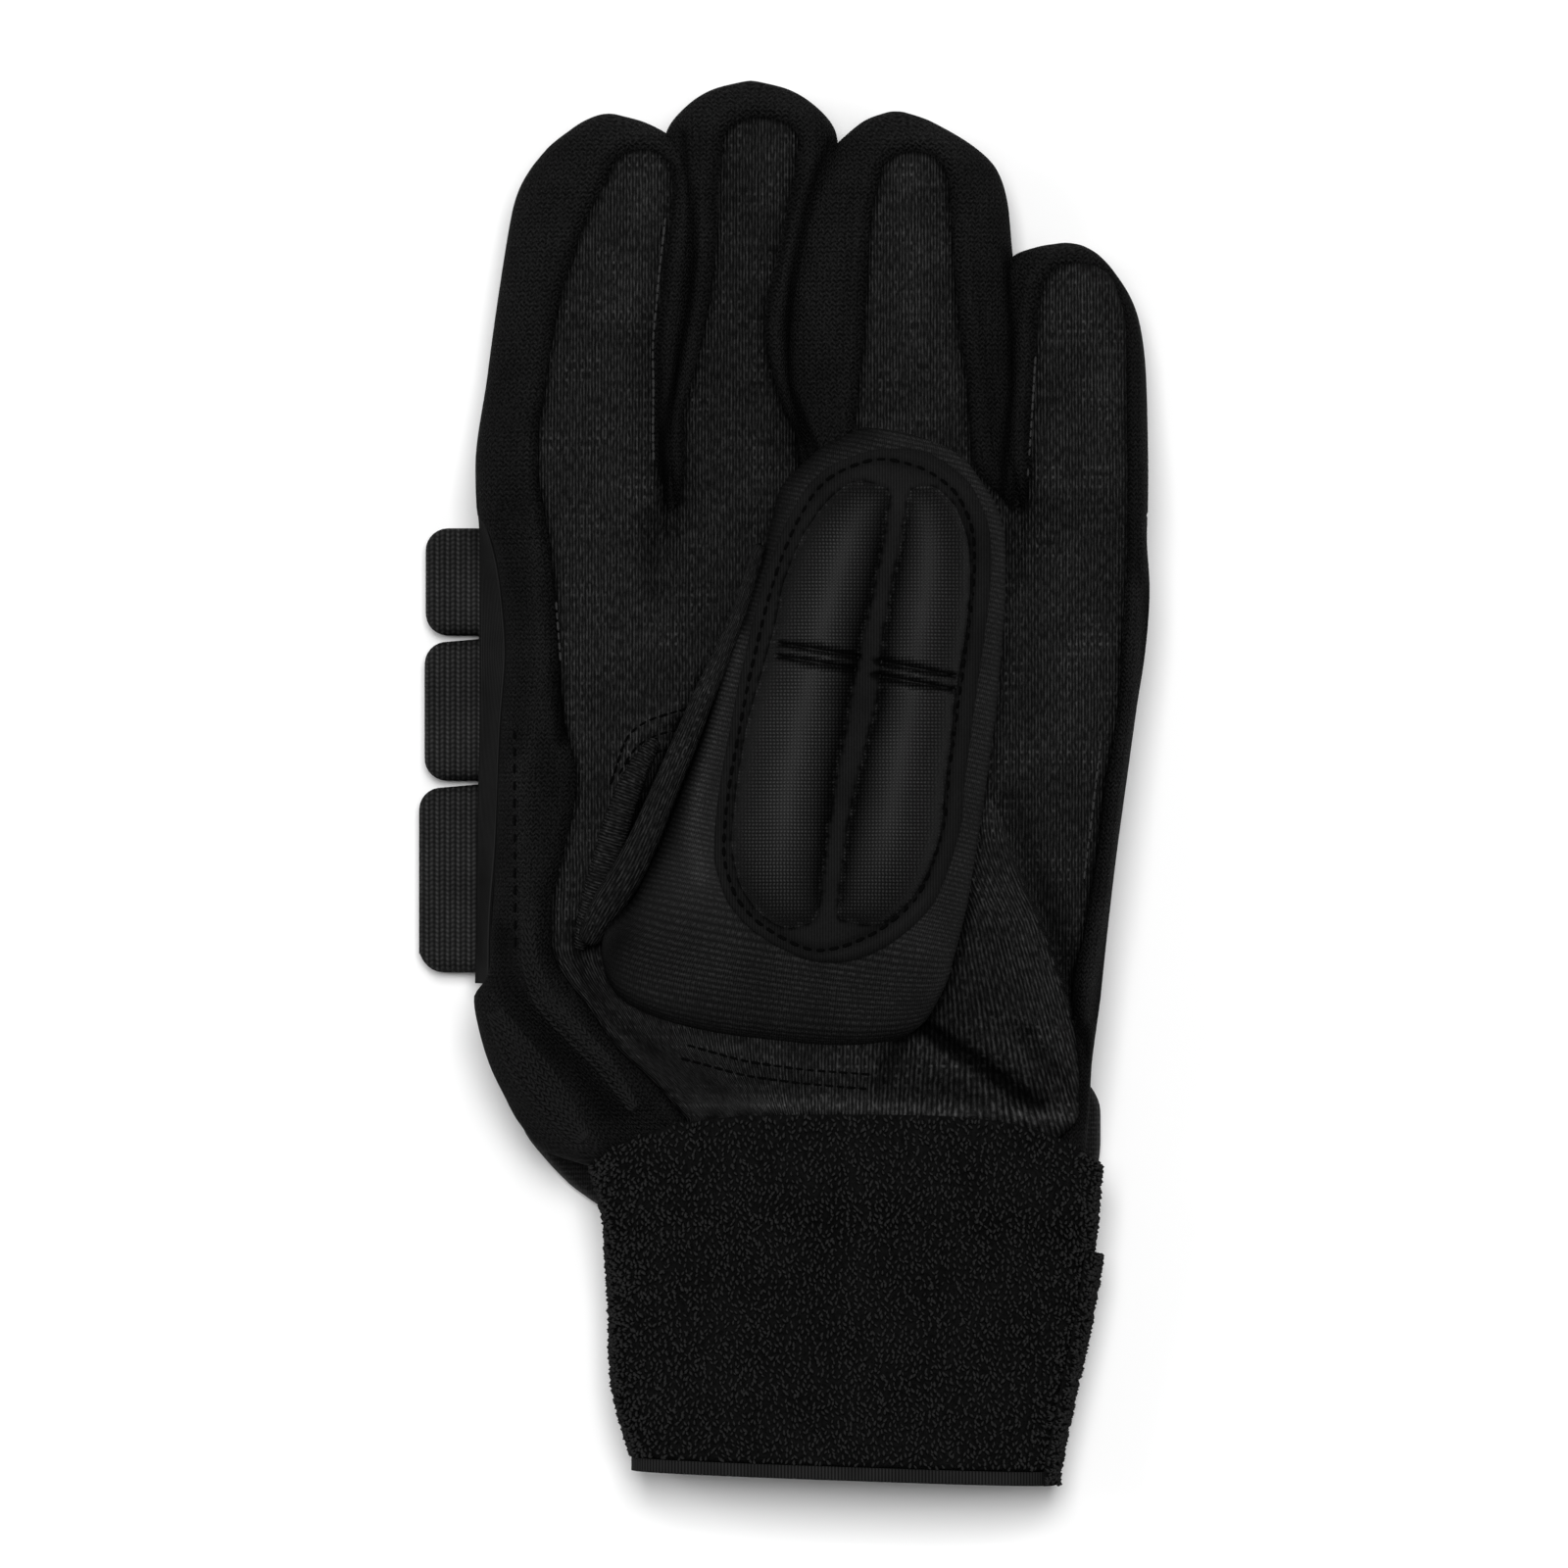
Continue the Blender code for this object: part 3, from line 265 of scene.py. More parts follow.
# %% Walls between two grids
def shell(
    name, outer, inner, cloth, wrap, material, slot, replaces=(), closed_end=False, dark=None
):
    """A wall between two grids, rows along and columns around. Cloth is (across, along)."""
    rows, columns = outer.shape[:2]
    unique = columns - 1 if wrap else columns
    points = np.concatenate([g[:, :unique].reshape(-1, 3) for g in (outer, inner)])
    r, c = (a.ravel() for a in np.indices((rows - 1, columns - 1)))
    parts = []

    def quads(*corners):
        """Faces from four (wall, row, column), with their places in the grid."""
        index = [w * rows * unique + r * unique + c % unique for w, r, c in corners]
        parts.append((np.stack(index, 1), np.stack([r * columns + c for _, r, c in corners], 1)))

    quads((0, r, c), (0, r + 1, c), (0, r + 1, c + 1), (0, r, c + 1))
    quads((1, r, c), (1, r, c + 1), (1, r + 1, c + 1), (1, r + 1, c))
    c = np.arange(columns - 1)
    for row in (0,) if closed_end else (0, rows - 1):
        row = np.full(columns - 1, row)
        quads((0, row, c), (0, row, c + 1), (1, row, c + 1), (1, row, c))
    if not wrap:
        r = np.arange(rows - 1)
        for column in (0, columns - 1):
            side = np.full(rows - 1, column)
            quads((0, r, side), (0, r + 1, side), (1, r + 1, side), (1, r, side))
    faces = np.concatenate([p[0] for p in parts])
    flat = np.stack([np.broadcast_to(c, (rows, columns)).ravel() for c in cloth], 1)
    places = flat[np.concatenate([p[1] for p in parts])]
    if dark is not None:
        dark = np.tile(dark[:, :unique].ravel(), 2)
    return piece(name, points, faces.tolist(), places, material, replaces, dark)


# %% [markdown]
# ## Sheets over an outline
#
# The palm cloth, the pad and the foam guards have free outlines, so they are filled with even
# triangles. Those follow any line inside where the cloth changes sharply.

# %% Sheets over an outline
def triangles(outline, spacing, loops=()):
    """Points and triangles that fill an outline, and follow any closed loops in it."""
    loops = [even_line(loop, spacing, True) for loop in loops]
    fixed = [outline, *loops]
    low, high = outline.min(0), outline.max(0)
    rows = np.arange(low[1], high[1], spacing * 0.87)
    columns = np.arange(low[0], high[0], spacing)
    x, y = np.meshgrid(columns, rows)
    x = x + spacing / 2 * (np.arange(len(rows)) % 2)[:, None]
    grid = np.stack([x.ravel(), y.ravel()], 1)
    grid = grid[inside(grid, outline)]
    for line in fixed:
        grid = grid[off(*grid.T, line, True) > spacing * 0.55]
    points = np.concatenate([*fixed, grid])
    lines, first = [], len(outline)
    for loop in loops:
        lines += [(first + i, first + (i + 1) % len(loop)) for i in range(len(loop))]
        first += len(loop)
    border = [list(range(len(outline)))]
    found = delaunay_2d_cdt([Vector(p) for p in points], lines, border, 1, 1e-7, False)
    corners = np.array([tuple(p) for p in found[0]])
    faces = np.array([f for f in found[2] if len(f) == 3])
    return corners, faces[inside(corners[faces].mean(1), outline)]


def sheet(
    name, outline, top, bottom, spacing, material, replaces=(), loops=(), lie=None, dark=None
):
    """A closed sheet over an outline, between two heights that are functions of X and Y.

    `lie` gives where on the flat cloth a point is, if it isn't straight above.
    """
    corners, faces = triangles(outline, spacing, loops)
    x, y = corners.T
    count = len(corners)
    points = np.concatenate([np.stack([x, y, height(x, y)], 1) for height in (top, bottom)])
    edges = np.concatenate([faces[:, [0, 1]], faces[:, [1, 2]], faces[:, [2, 0]]])
    key = np.sort(edges, 1) @ (count, 1)
    once = np.isin(key, [k for k, n in zip(*np.unique(key, return_counts=True)) if n == 1])
    a, b = edges[once].T
    walls = np.stack([b, a, a + count, b + count], 1)
    all_faces = faces.tolist() + (faces[:, ::-1] + count).tolist() + walls.tolist()
    flat = np.stack(lie(x, y), 1) if lie else corners
    flat = np.concatenate([flat, flat])
    cloth = flat[np.concatenate([np.ravel(f) for f in all_faces]).astype(int)]
    shade = np.tile(dark(x, y), 2) if dark else None
    return piece(name, points, all_faces, cloth, material, replaces, shade)


# %% [markdown]
# ## How cloth is coloured
#
# A material here is a colour, a pattern that gives a height between 0 and 1 over the cloth, and
# the relief of that pattern. The hollows of a cloth are darker than its ridges, because light
# has trouble reaching them. Black cloth reflects 1 or 2 hundredths of the light, and its fibres
# give off little gloss.


# %% Nodes, and numbers that vary over a surface
def add(tree, kind, *values, out=0, inputs=None, **settings):
    """One node with its settings, its inputs set or linked, and one of its outputs."""
    node = tree.nodes.new(kind)
    for name, value in settings.items():
        setattr(node, name, value)
    for key, value in [*enumerate(values), *(inputs or {}).items()]:
        value = getattr(value, "socket", value)
        if isinstance(value, bpy.types.NodeSocket):
            tree.links.new(value, node.inputs[key])
        elif value is not None:
            node.inputs[key].default_value = value
    return node.outputs[out] if len(node.outputs) else node


class Field:
    """A number that varies over a surface. Arithmetic on it adds Math nodes."""

    def __init__(self, tree, socket):
        self.tree, self.socket = tree, socket

    def math(self, operation, *others):
        node = add(self.tree, "ShaderNodeMath", self, *others, operation=operation)
        return Field(self.tree, node)

    def __add__(self, other):
        return self.math("ADD", other)

    def __sub__(self, other):
        return self.math("SUBTRACT", other)

    def __mul__(self, other):
        return self.math("MULTIPLY", other)

    def __truediv__(self, other):
        return self.math("DIVIDE", other)


# %% [markdown]
# ## Patterns
#
# A pattern is arithmetic on a place on the flat cloth, in millimetres: waves for ribs, noise for
# the grain of yarn, and a chain of V shapes for knitted stitches.

# %% Patterns
def linear(code):
    """A hex colour in linear light."""
    parts = [int(code[i : i + 2], 16) / 255 for i in (1, 3, 5)]
    return [p / 12.92 if p <= 0.04045 else ((p + 0.055) / 1.055) ** 2.4 for p in parts]


def waves(at, spacing):
    """Ridges at a spacing, between 0 and 1."""
    return (at * (2 * math.pi / spacing)).math("SINE") * 0.5 + 0.5


def speckle(u, v, across, along):
    """Noise with grains of a size, between 0 and 1."""
    tree = u.tree
    place = add(tree, "ShaderNodeCombineXYZ", u / across, v / along)
    inputs = {"Vector": place, "Scale": 1.0, "Detail": 2.0}
    return Field(tree, add(tree, "ShaderNodeTexNoise", inputs=inputs, noise_dimensions="2D"))


def chain(u, v, width, height):
    """Knitted columns: each stitch is a V, and the columns have furrows between them."""
    lean = ((u / width).math("FRACT") - 0.5).math("ABSOLUTE") * 2
    strand = waves(v + lean * (width / 2), height)
    furrow = lean * lean * lean * -0.7 + 1
    middle = (lean * 3).math("MINIMUM", 1.0) * 0.35 + 0.65
    return strand * furrow * middle


# %% [markdown]
# ## A cloth's material
#
# The pattern gives both the relief and the colour's strength, so that hollows get painted shade
# where they are deep. The painted shade of each point of a mesh comes in last.

# %% A cloth's material
def new_material(name, gloss, rough):
    material = bpy.data.materials.new(name)
    material.use_nodes = True
    shader = material.node_tree.nodes["Principled BSDF"]
    shader.inputs["Roughness"].default_value = rough
    shader.inputs["Specular IOR Level"].default_value = gloss
    return material, shader


def fabric(name, code, pattern, relief, gloss=0.02, rough=0.8, contrast=(0.4, 1.6)):
    """A cloth with a colour, a pattern of a relief in millimetres, and a gloss of its fibres.

    `contrast` multiplies its colour in the pattern's hollows and on its heights.
    """
    material, shader = new_material(name, gloss, rough)
    tree = material.node_tree
    place = add(tree, "ShaderNodeSeparateXYZ", add(tree, "ShaderNodeUVMap", uv_map="cloth")).node
    u, v = (Field(tree, place.outputs[k]) for k in (0, 1))
    height = pattern(u, v)
    # slow patches of wear, some 9 mm across
    uneven = speckle(u, v, 9.0, 9.0) * 0.7 + 0.65
    # painted shade: the pattern's hollows are darkened, and each point's own painted shade darkens
    # it more, or lightens it as a painted highlight where it is below 0
    dark = Field(tree, add(tree, "ShaderNodeAttribute", attribute_name="dark", out="Fac"))
    level = (height * (contrast[1] - contrast[0]) + contrast[0]) * uneven * (dark * -1 + 1)
    colour = linear(code)
    tint = add(tree, "ShaderNodeCombineXYZ", *[level * part for part in colour])
    tree.links.new(tint, shader.inputs["Base Color"])
    bump = {"Strength": 1.0, "Distance": relief * MM, "Height": height}
    tree.links.new(add(tree, "ShaderNodeBump", inputs=bump), shader.inputs["Normal"])
    return material


# %% [markdown]
# ## Cloths of the glove
#
# - **Jersey knit**: fine stitches in columns of 1.15 mm, the darkest of the flat cloths.
# - **Palm cloth**: a warp knit with ribs along the hand, whose yarn has painted glints in short
#   dashes. The real ribs are finer than a pixel, so they are drawn coarser, every 0.56 mm.
# - **Stretch weave** on the thumb: ribs every 0.88 mm across the thumb, with a soft sheen.
# - **Pad cloth**: an even weave with an opening every 0.62 mm, pressed over foam, so it shines.
# - **Guard knit**: columns of beads, 0.95 mm apart, one of each pair brighter.
# - **Terry**: a dark ground under lighter yarn, whose loops catch the light.
# - **Binding tape** and **threads**: fine ribs, dull, with one thread that glints.

# %% Fabrics
# spacings across and along each cloth, in millimetres
JERSEY_STITCH = (1.15, 0.85)
PALM_RIB, PALM_DOTS = 0.56, (1.4, 1.75)
THUMB_CORD, THUMB_RIB = 0.42, 0.88
PAD_OPENING = 0.62
GUARD_COLUMN, GUARD_BEAD = 0.95, 0.85


def broken(u, v, across, along, share=0.5):
    """Grains that are on or off, softly: painted glints of yarn in short dashes."""
    lit = (speckle(u, v, across, along) - (1 - share)) * 5 + 0.5
    return lit.math("MAXIMUM", 0.0).math("MINIMUM", 1.6)


def palm_ribs(u, v):
    """Ribs of yarn with painted glints in short dashes, and rows of small bright dots that are
    painted as lit in patches.
    """
    dots = (waves(u, PALM_DOTS[0]) * waves(v, PALM_DOTS[1]) - 0.6).math("MAXIMUM", 0.0)
    lit = broken(u, v, 7.0, 7.0, 0.46)
    yarn = broken(u, v, 0.4, 1.5) * 0.6 + speckle(u, v, 0.28, 0.28) * 0.45
    return (waves(u, PALM_RIB) * 0.85 + 0.1) * yarn + dots * lit * 1.5


def guard_columns(u, v):
    """Columns of beads in pairs, one of each pair brighter."""
    pairs = waves(u, 2 * GUARD_COLUMN)
    column = waves(u, GUARD_COLUMN) * (pairs * 0.45 + 0.55)
    beads = waves(v + waves(u, 2 * GUARD_COLUMN) * 0.3, GUARD_BEAD) * 0.7 + 0.3
    return (column * 0.8 + 0.1) * beads * (speckle(u, v, 0.8, 0.8) + 0.5)


def stretch_ribs(u, v):
    """Ribs across the thumb, of yarn that is broken by finer cords along it."""
    yarn = broken(u, v, 0.5, 0.5) * 0.45 + 0.15
    return waves(v, THUMB_RIB) * yarn + waves(u, THUMB_CORD) * 0.35


def pad_openings(u, v):
    """An even weave whose columns sway a little."""
    sway = waves(v, 1.3) * 0.12
    return waves(u + sway, PAD_OPENING) * waves(v, PAD_OPENING) * (speckle(u, v, 0.6, 0.6) + 0.5)


def jersey_stitches(u, v):
    return chain(u, v, *JERSEY_STITCH) * 0.6 + broken(u, v, 0.45, 0.45) * 0.4


def fine_ribs(u, v):
    return waves(u, 0.5) * 0.6 + speckle(u, v, 0.5, 0.5) * 0.5


def grains(size):
    return lambda u, v: speckle(u, v, size, size)


def twist(u, v):
    return waves(u + v, 0.3)


# name, colour, pattern and relief, and for some the gloss and the roughness
jersey = fabric("Jersey knit", "#131313", jersey_stitches, 0.3, contrast=(0.25, 2.3))
palm_weave = fabric("Ribbed palm cloth", "#171717", palm_ribs, 0.2, contrast=(0.15, 3.75))
stretch_weave = fabric(
    "Ribbed stretch weave", "#141414", stretch_ribs, 0.09, 0.06, 0.55, contrast=(0.1, 3.0)
)
pad_weave = fabric(
    "Moulded pad cloth", "#1b1b1b", pad_openings, 0.08, 0.1, 0.5, contrast=(0.15, 3.6)
)
flat_weave = fabric("Flange cloth", "#141414", fine_ribs, 0.05)
guard_knit = fabric("Guard knit", "#1f1f1f", guard_columns, 0.25, contrast=(0.3, 3.7))
terry_ground = fabric("Terry ground", "#0e0e0e", grains(0.8), 0.2, gloss=0.0)
terry_yarn = fabric("Terry loop yarn", "#252525", grains(0.2), 0.03)
tape = fabric("Binding tape", "#1d1d1d", lambda u, v: waves(u, 0.6), 0.06)
thread = fabric("Sewing thread", "#060606", twist, 0.03)
knit_yarn = fabric("Knitted rib yarn", "#1c1c1c", grains(0.3), 0.03)
bright_thread = fabric("Glossy sewing thread", "#343434", twist, 0.03, gloss=0.2)
print("fabrics:", len(bpy.data.materials))

# %% [markdown]
# ## Knitted hand and fingers
#
# The back and the sides of the glove are jersey knit. Each finger is a tube of its own, closed
# at the tip, and the hand is a wide flat tube that the fingers come out of. The sections are
# rounded boxes, squarer below, where the glove lies on the table. Along the seam of the palm
# the knit is pulled down into a furrow, as sewing does.

# %% Sections of the hand
PALM_LENGTH, HALF_PALM, PALM_DEPTH = 110.0, 60.0, 24.0
FINGER_DEPTH, KNIT_WALL = 22.5, 2.0
GUARD_THICKNESS = 8.0
# share of the palm's length, left and right as shares of half its width, height share
HAND_SECTIONS = [
    (-0.073, -0.54, 0.89, 0.62), (-0.045, -0.7, 0.9, 0.66), (0.0, -0.785, 0.908, 0.72),
    (0.051, -0.837, 0.914, 0.84), (0.099, -0.878, 0.918, 0.93), (0.164, -0.913, 0.933, 0.98),
    (0.208, -0.925, 0.944, 1.0), (0.245, -0.884, 0.951, 1.0), (0.302, -0.875, 0.962, 1.0),
    (0.434, -0.86, 0.99, 1.0), (0.562, -0.852, 1.022, 1.0), (0.684, -0.84, 1.053, 0.98),
    (0.773, -0.828, 1.078, 0.96), (0.875, -0.844, 1.091, 0.93), (0.959, -0.875, 1.083, 0.91),
    (1.0, -0.913, 1.085, 0.9),
]

# %% [markdown]
# ## Sections of the fingers
#
# Each finger has its own table. The shares are of its own length and width, so a finger can be
# made longer or wider without touching its form.

# %% Sections of the fingers
# length from the root, widest width, and middle of the root
FINGERS = {
    "index": (71.4, 34.3, -37.6),
    "middle": (77.3, 27.6, -6.6),
    "ring": (71.8, 39.4, 24.3),
    "little": (48.3, 24.7, 53.5),
}
# how much wider each finger is pressed out against its neighbours, on its left and its right
SPREADS = [(0.0, 1.6), (0.6, 0.6), (1.5, 1.5), (1.6, 0.0)]
FINGER_SPREAD = dict(zip(FINGERS, SPREADS))
# share of the finger's length, sideways shift and width in half widths, depth share
FINGER_SECTIONS = {
    "index": [
        (0.0, 0.0, 1.0, 0.96), (0.174, -0.031, 1.0, 1.0), (0.38, 0.056, 0.974, 1.0),
        (0.551, 0.179, 0.995, 1.0), (0.74, 0.291, 0.974, 0.98), (0.814, 0.337, 0.939, 0.95),
        (0.868, 0.388, 0.867, 0.9), (0.917, 0.429, 0.735, 0.81), (0.956, 0.429, 0.531, 0.65),
        (0.983, 0.403, 0.332, 0.44), (1.0, 0.357, 0.11, 0.2),
    ],
    "middle": [
        (0.0, 0.0, 0.937, 0.96), (0.176, -0.101, 0.886, 1.0), (0.244, -0.177, 0.797, 1.0),
        (0.396, -0.177, 0.671, 1.0), (0.566, -0.051, 0.633, 1.0), (0.808, 0.127, 0.772, 0.96),
        (0.857, 0.114, 0.886, 0.93), (0.896, 0.089, 1.0, 0.88), (0.93, 0.082, 0.905, 0.77),
        (0.964, 0.038, 0.633, 0.58), (0.986, 0.044, 0.348, 0.38), (1.0, 0.044, 0.12, 0.18),
    ],
    "ring": [
        (0.0, 0.0, 0.871, 0.96), (0.193, -0.098, 0.889, 1.0), (0.361, -0.164, 1.0, 1.0),
        (0.485, -0.173, 1.0, 1.0), (0.702, -0.156, 0.92, 0.99), (0.802, -0.133, 0.853, 0.95),
        (0.871, -0.124, 0.747, 0.88), (0.929, -0.147, 0.573, 0.74), (0.978, -0.2, 0.324, 0.46),
        (1.0, -0.213, 0.1, 0.2),
    ],
    "little": [
        (0.0, 0.0, 0.936, 0.94), (0.257, -0.05, 1.0, 0.98), (0.536, -0.021, 0.957, 0.97),
        (0.703, -0.064, 0.929, 0.94), (0.812, -0.156, 0.879, 0.88), (0.906, -0.291, 0.759, 0.76),
        (0.96, -0.362, 0.617, 0.58), (0.989, -0.298, 0.355, 0.36), (1.0, -0.241, 0.14, 0.2),
    ],
}
# the middle finger is broader under its neighbours than what shows of it
TUBE_SECTIONS = {
    **FINGER_SECTIONS,
    "middle": [
        (0.0, 0.0, 0.937, 0.96), (0.176, -0.101, 0.886, 1.0), (0.244, -0.177, 0.82, 1.0),
        (0.396, -0.177, 0.72, 1.0), (0.566, -0.05, 0.74, 1.0), (0.7, 0.03, 0.88, 0.98),
        (0.808, 0.06, 1.04, 0.95), (0.857, 0.05, 1.085, 0.92), (0.896, 0.05, 1.058, 0.87),
        (0.93, 0.05, 0.935, 0.77), (0.964, 0.045, 0.717, 0.58), (0.986, 0.044, 0.467, 0.38),
        (1.0, 0.044, 0.14, 0.18),
    ],
}

# %% [markdown]
# ## Where the hand and the fingers are
#
# Other cells ask how wide and how high the hand or a finger is at some Y, so that palm cloth,
# seams and stitches follow them.

# %% The hand and the fingers at a place
# how square their sections are, above and below
HAND_ROUND, FINGER_ROUND = (2.5, 3.4), (2.3, 2.6)
# how high the hand and the fingers lie, and over what length the one becomes the other
HAND_FLOOR, FINGER_FLOOR, DROOP = 8.3, 0.5, 30


def floor_at(y):
    """The hand lies on the guard, and the fingers droop to the table."""
    droop = step_up((np.asarray(y, float) - PALM_LENGTH) / DROOP)
    return HAND_FLOOR + (FINGER_FLOOR - HAND_FLOOR) * droop


def hand_at(y):
    """Left, right, floor and height of the hand at Y."""
    left, right, top = smooth(HAND_SECTIONS, np.ravel(y) / PALM_LENGTH).T
    return HALF_PALM * left, HALF_PALM * right, floor_at(np.ravel(y)), PALM_DEPTH * top


FINGER_TABLES = {}
for name, (length, width, root) in FINGERS.items():
    share, shift, wide, deep = by_row(FINGER_SECTIONS[name], 400).T
    y = PALM_LENGTH + 0.3 + (length - 0.3) * share
    FINGER_TABLES[name] = (y, root + width / 2 * shift, width / 2 * wide, FINGER_DEPTH / 2 * deep)


def finger_at(name, y):
    """Centre, half width, half depth and middle height of a finger at Y."""
    at, *columns = FINGER_TABLES[name]
    centre, half_width, half_depth = (np.interp(y, at, column) for column in columns)
    return centre, half_width, half_depth, floor_at(y) + FINGER_DEPTH / 2


def root_side(name, side):
    """X of a finger's side at its root."""
    _, centre, half_width, _ = FINGER_TABLES[name]
    return centre[0] + side * half_width[0]


roots = list(FINGERS)
CROTCHES = [(root_side(a, 1) + root_side(b, -1)) / 2 for a, b in zip(roots, roots[1:])]


def knuckle_dip(x, y):
    """How far the hand's top sinks between the fingers' roots, as a share."""
    near = step_up((y / PALM_LENGTH - 0.82) / 0.18)
    return 0.34 * near * sum(bell(x - c, 6) for c in CROTCHES)


print("slits between the fingers at X", [round(float(c), 1) for c in CROTCHES])

# %% [markdown]
# ## Outline of the palm panel
#
# The palm cloth is one panel that runs from the cuff to the fingertips. On each finger it is a
# tongue with a round tip, and between the tongues it ends in small round webs.

# %% Palm panel's outline
# share of the palm's length, left and right seams as shares of half its width
PALM_SEAMS = [
    (0.013, -0.289, 0.88), (0.078, -0.394, 0.88), (0.13, -0.496, 0.872), (0.2, -0.586, 0.86),
    (0.24, -0.645, 0.859), (0.293, -0.691, 0.885), (0.345, -0.691, 0.901),
    (0.477, -0.642, 0.939), (0.562, -0.615, 0.956), (0.663, -0.653, 0.995),
    (0.764, -0.668, 1.007), (0.875, -0.682, 1.021), (0.97, -0.704, 1.022),
]
# share of the finger's length, left and right seams as shares of its local half width
TONGUE_SEAMS = {
    "index": [
        (0.1, -0.36, 0.93), (0.3, -0.32, 0.9), (0.47, -0.32, 0.8), (0.62, -0.26, 0.75),
        (0.74, -0.15, 0.75), (0.84, 0.01, 0.75),
    ],
    "middle": [
        (0.09, -0.85, 0.81), (0.21, -0.81, 0.82), (0.32, -0.71, 0.7), (0.45, -0.59, 0.64),
        (0.61, -0.64, 0.75), (0.75, -0.72, 0.71), (0.85, -0.53, 0.67),
    ],
    "ring": [
        (0.1, -0.73, 0.63), (0.27, -0.47, 0.61), (0.42, -0.34, 0.55), (0.59, -0.32, 0.5),
        (0.73, -0.32, 0.48), (0.83, -0.29, 0.46),
    ],
    "little": [
        (0.15, -0.76, 0.69), (0.33, -0.75, 0.68), (0.55, -0.73, 0.69), (0.73, -0.65, 0.74),
        (0.82, -0.5, 0.75),
    ],
}
TONGUE_TIP = 5.0


def tongue(name):
    """A finger's tongue from its little finger side, over its tip, down its thumb side."""
    rows = TONGUE_SEAMS[name]
    share = np.linspace(rows[0][0], rows[-1][0], 40)
    left, right = smooth(rows, share).T
    y = PALM_LENGTH + FINGERS[name][0] * share
    centre, half_width, _, _ = finger_at(name, y)
    lefts = np.stack([centre + half_width * left, y], 1)
    rights = np.stack([centre + half_width * right, y], 1)
    turn = np.linspace(0, math.pi, 14)[1:-1]
    middle, half = (lefts[-1] + rights[-1]) / 2, (rights[-1] - lefts[-1])[0] / 2
    tip = np.stack([middle[0] + half * np.cos(turn), y[-1] + TONGUE_TIP * np.sin(turn)], 1)
    return np.concatenate([rights, tip, lefts[::-1]])


def palm_outline():
    """Up the seam beside the little finger, around each tongue and web, and down to the cuff."""
    share = np.linspace(PALM_SEAMS[0][0], PALM_SEAMS[-1][0], 120)
    left, right = smooth(PALM_SEAMS, share).T * HALF_PALM
    rights = np.stack([right, share * PALM_LENGTH], 1)
    lefts = np.stack([left, share * PALM_LENGTH], 1)
    end = [(left[0] + 3, -7.5), (right[0] - 8, -7.5)]
    parts = [end, rights]
    for name, slit in zip(roots[::-1], [*CROTCHES[::-1], None]):
        parts.append(tongue(name))
        if slit is not None:
            parts.append([(slit + 1.2, PALM_LENGTH + 0.6), (slit - 1.2, PALM_LENGTH + 0.6)])
    parts.append(lefts[::-1])
    return np.concatenate(parts)


PALM_OUTLINE = even_line(palm_outline(), 0.8 * COARSE, closed=True, soften=0.9)
print("palm outline:", len(PALM_OUTLINE), "points")

# %% [markdown]
# ## Relief of the knit and the palm
#
# Cloth that is sewn and worn isn't smooth. Beside the palm's thumb-side seam a knitted ribbon
# stands up, and a bulge of the gusset follows it to the wrist. On the palm, cloth folds over
# itself on the heel below the little finger, creases run from the thumb's base to the cuff, and
# a few soft waves cross the whole palm. Each one is a line with a width and a height.

# %% Folds, creases and ribbons
# line, height, width on its left side and on its right side
HEEL_FOLD = [
    (36.8, 58.0), (41.6, 45.8), (46.0, 36.0), (50.6, 22.8), (53.2, 15.6), (55.5, 8.0), (60.0, -10.0)
]
PALM_FOLDS = [
    (HEEL_FOLD, 3.6, 0.9, 10.0),
    ([(x + 3.2, y + 1.0) for x, y in HEEL_FOLD], -1.3, 2.2, 1.8),
    ([(21.5, 20.6), (28.2, 15.6), (35.3, 11.0), (42.0, 5.8), (46.0, 3.5)], -2.8, 1.5, 1.3),
    ([(24.0, 14.5), (31.0, 9.3), (38.0, 4.0)], 1.6, 2.2, 2.4),
    ([(21.5, 17.5), (18.6, 12.0), (17.5, 8.0)], -1.8, 2.4, 1.6),
    ([(43.1, 16.9), (49.0, 8.8), (53.2, 4.2)], -2.2, 1.2, 1.8),
    ([(26.0, 22.0), (30.0, 33.0), (33.5, 44.0)], -1.4, 2.2, 1.6),
    ([(-12.0, 80.0), (-22.0, 60.0), (-33.0, 38.0)], -4.5, 4.5, 2.2),
    ([(-30.6, 62.0), (-28.0, 70.0), (-24.5, 73.6), (-15.0, 76.9)], 1.1, 0.5, 3.4),
    ([(-27.0, 62.0), (-25.0, 68.0), (-22.0, 70.6), (-15.0, 72.9)], -0.9, 0.7, 0.7),
    ([(-37.6, 36.0), (-36.0, 27.0), (-31.0, 19.5), (-23.0, 13.5)], -1.5, 1.3, 1.3),
    ([(-39.5, 27.0), (-34.0, 19.5), (-25.5, 12.0), (-20.0, 5.0)], 1.2, 1.6, 1.6),
    ([(-17.5, 15.4), (-7.0, 12.9), (3.5, 11.0), (16.0, 10.4)], 1.2, 1.0, 2.4),
    ([(-14.0, 3.6), (8.0, 3.2), (30.0, 2.2), (52.0, 1.2)], 1.5, 1.6, 1.6),
    ([(-23.0, 96.0), (-22.8, 109.0)], -1.2, 2.0, 2.0),
    ([(7.0, 100.0), (8.6, 112.0)], -1.0, 2.2, 2.2),
]
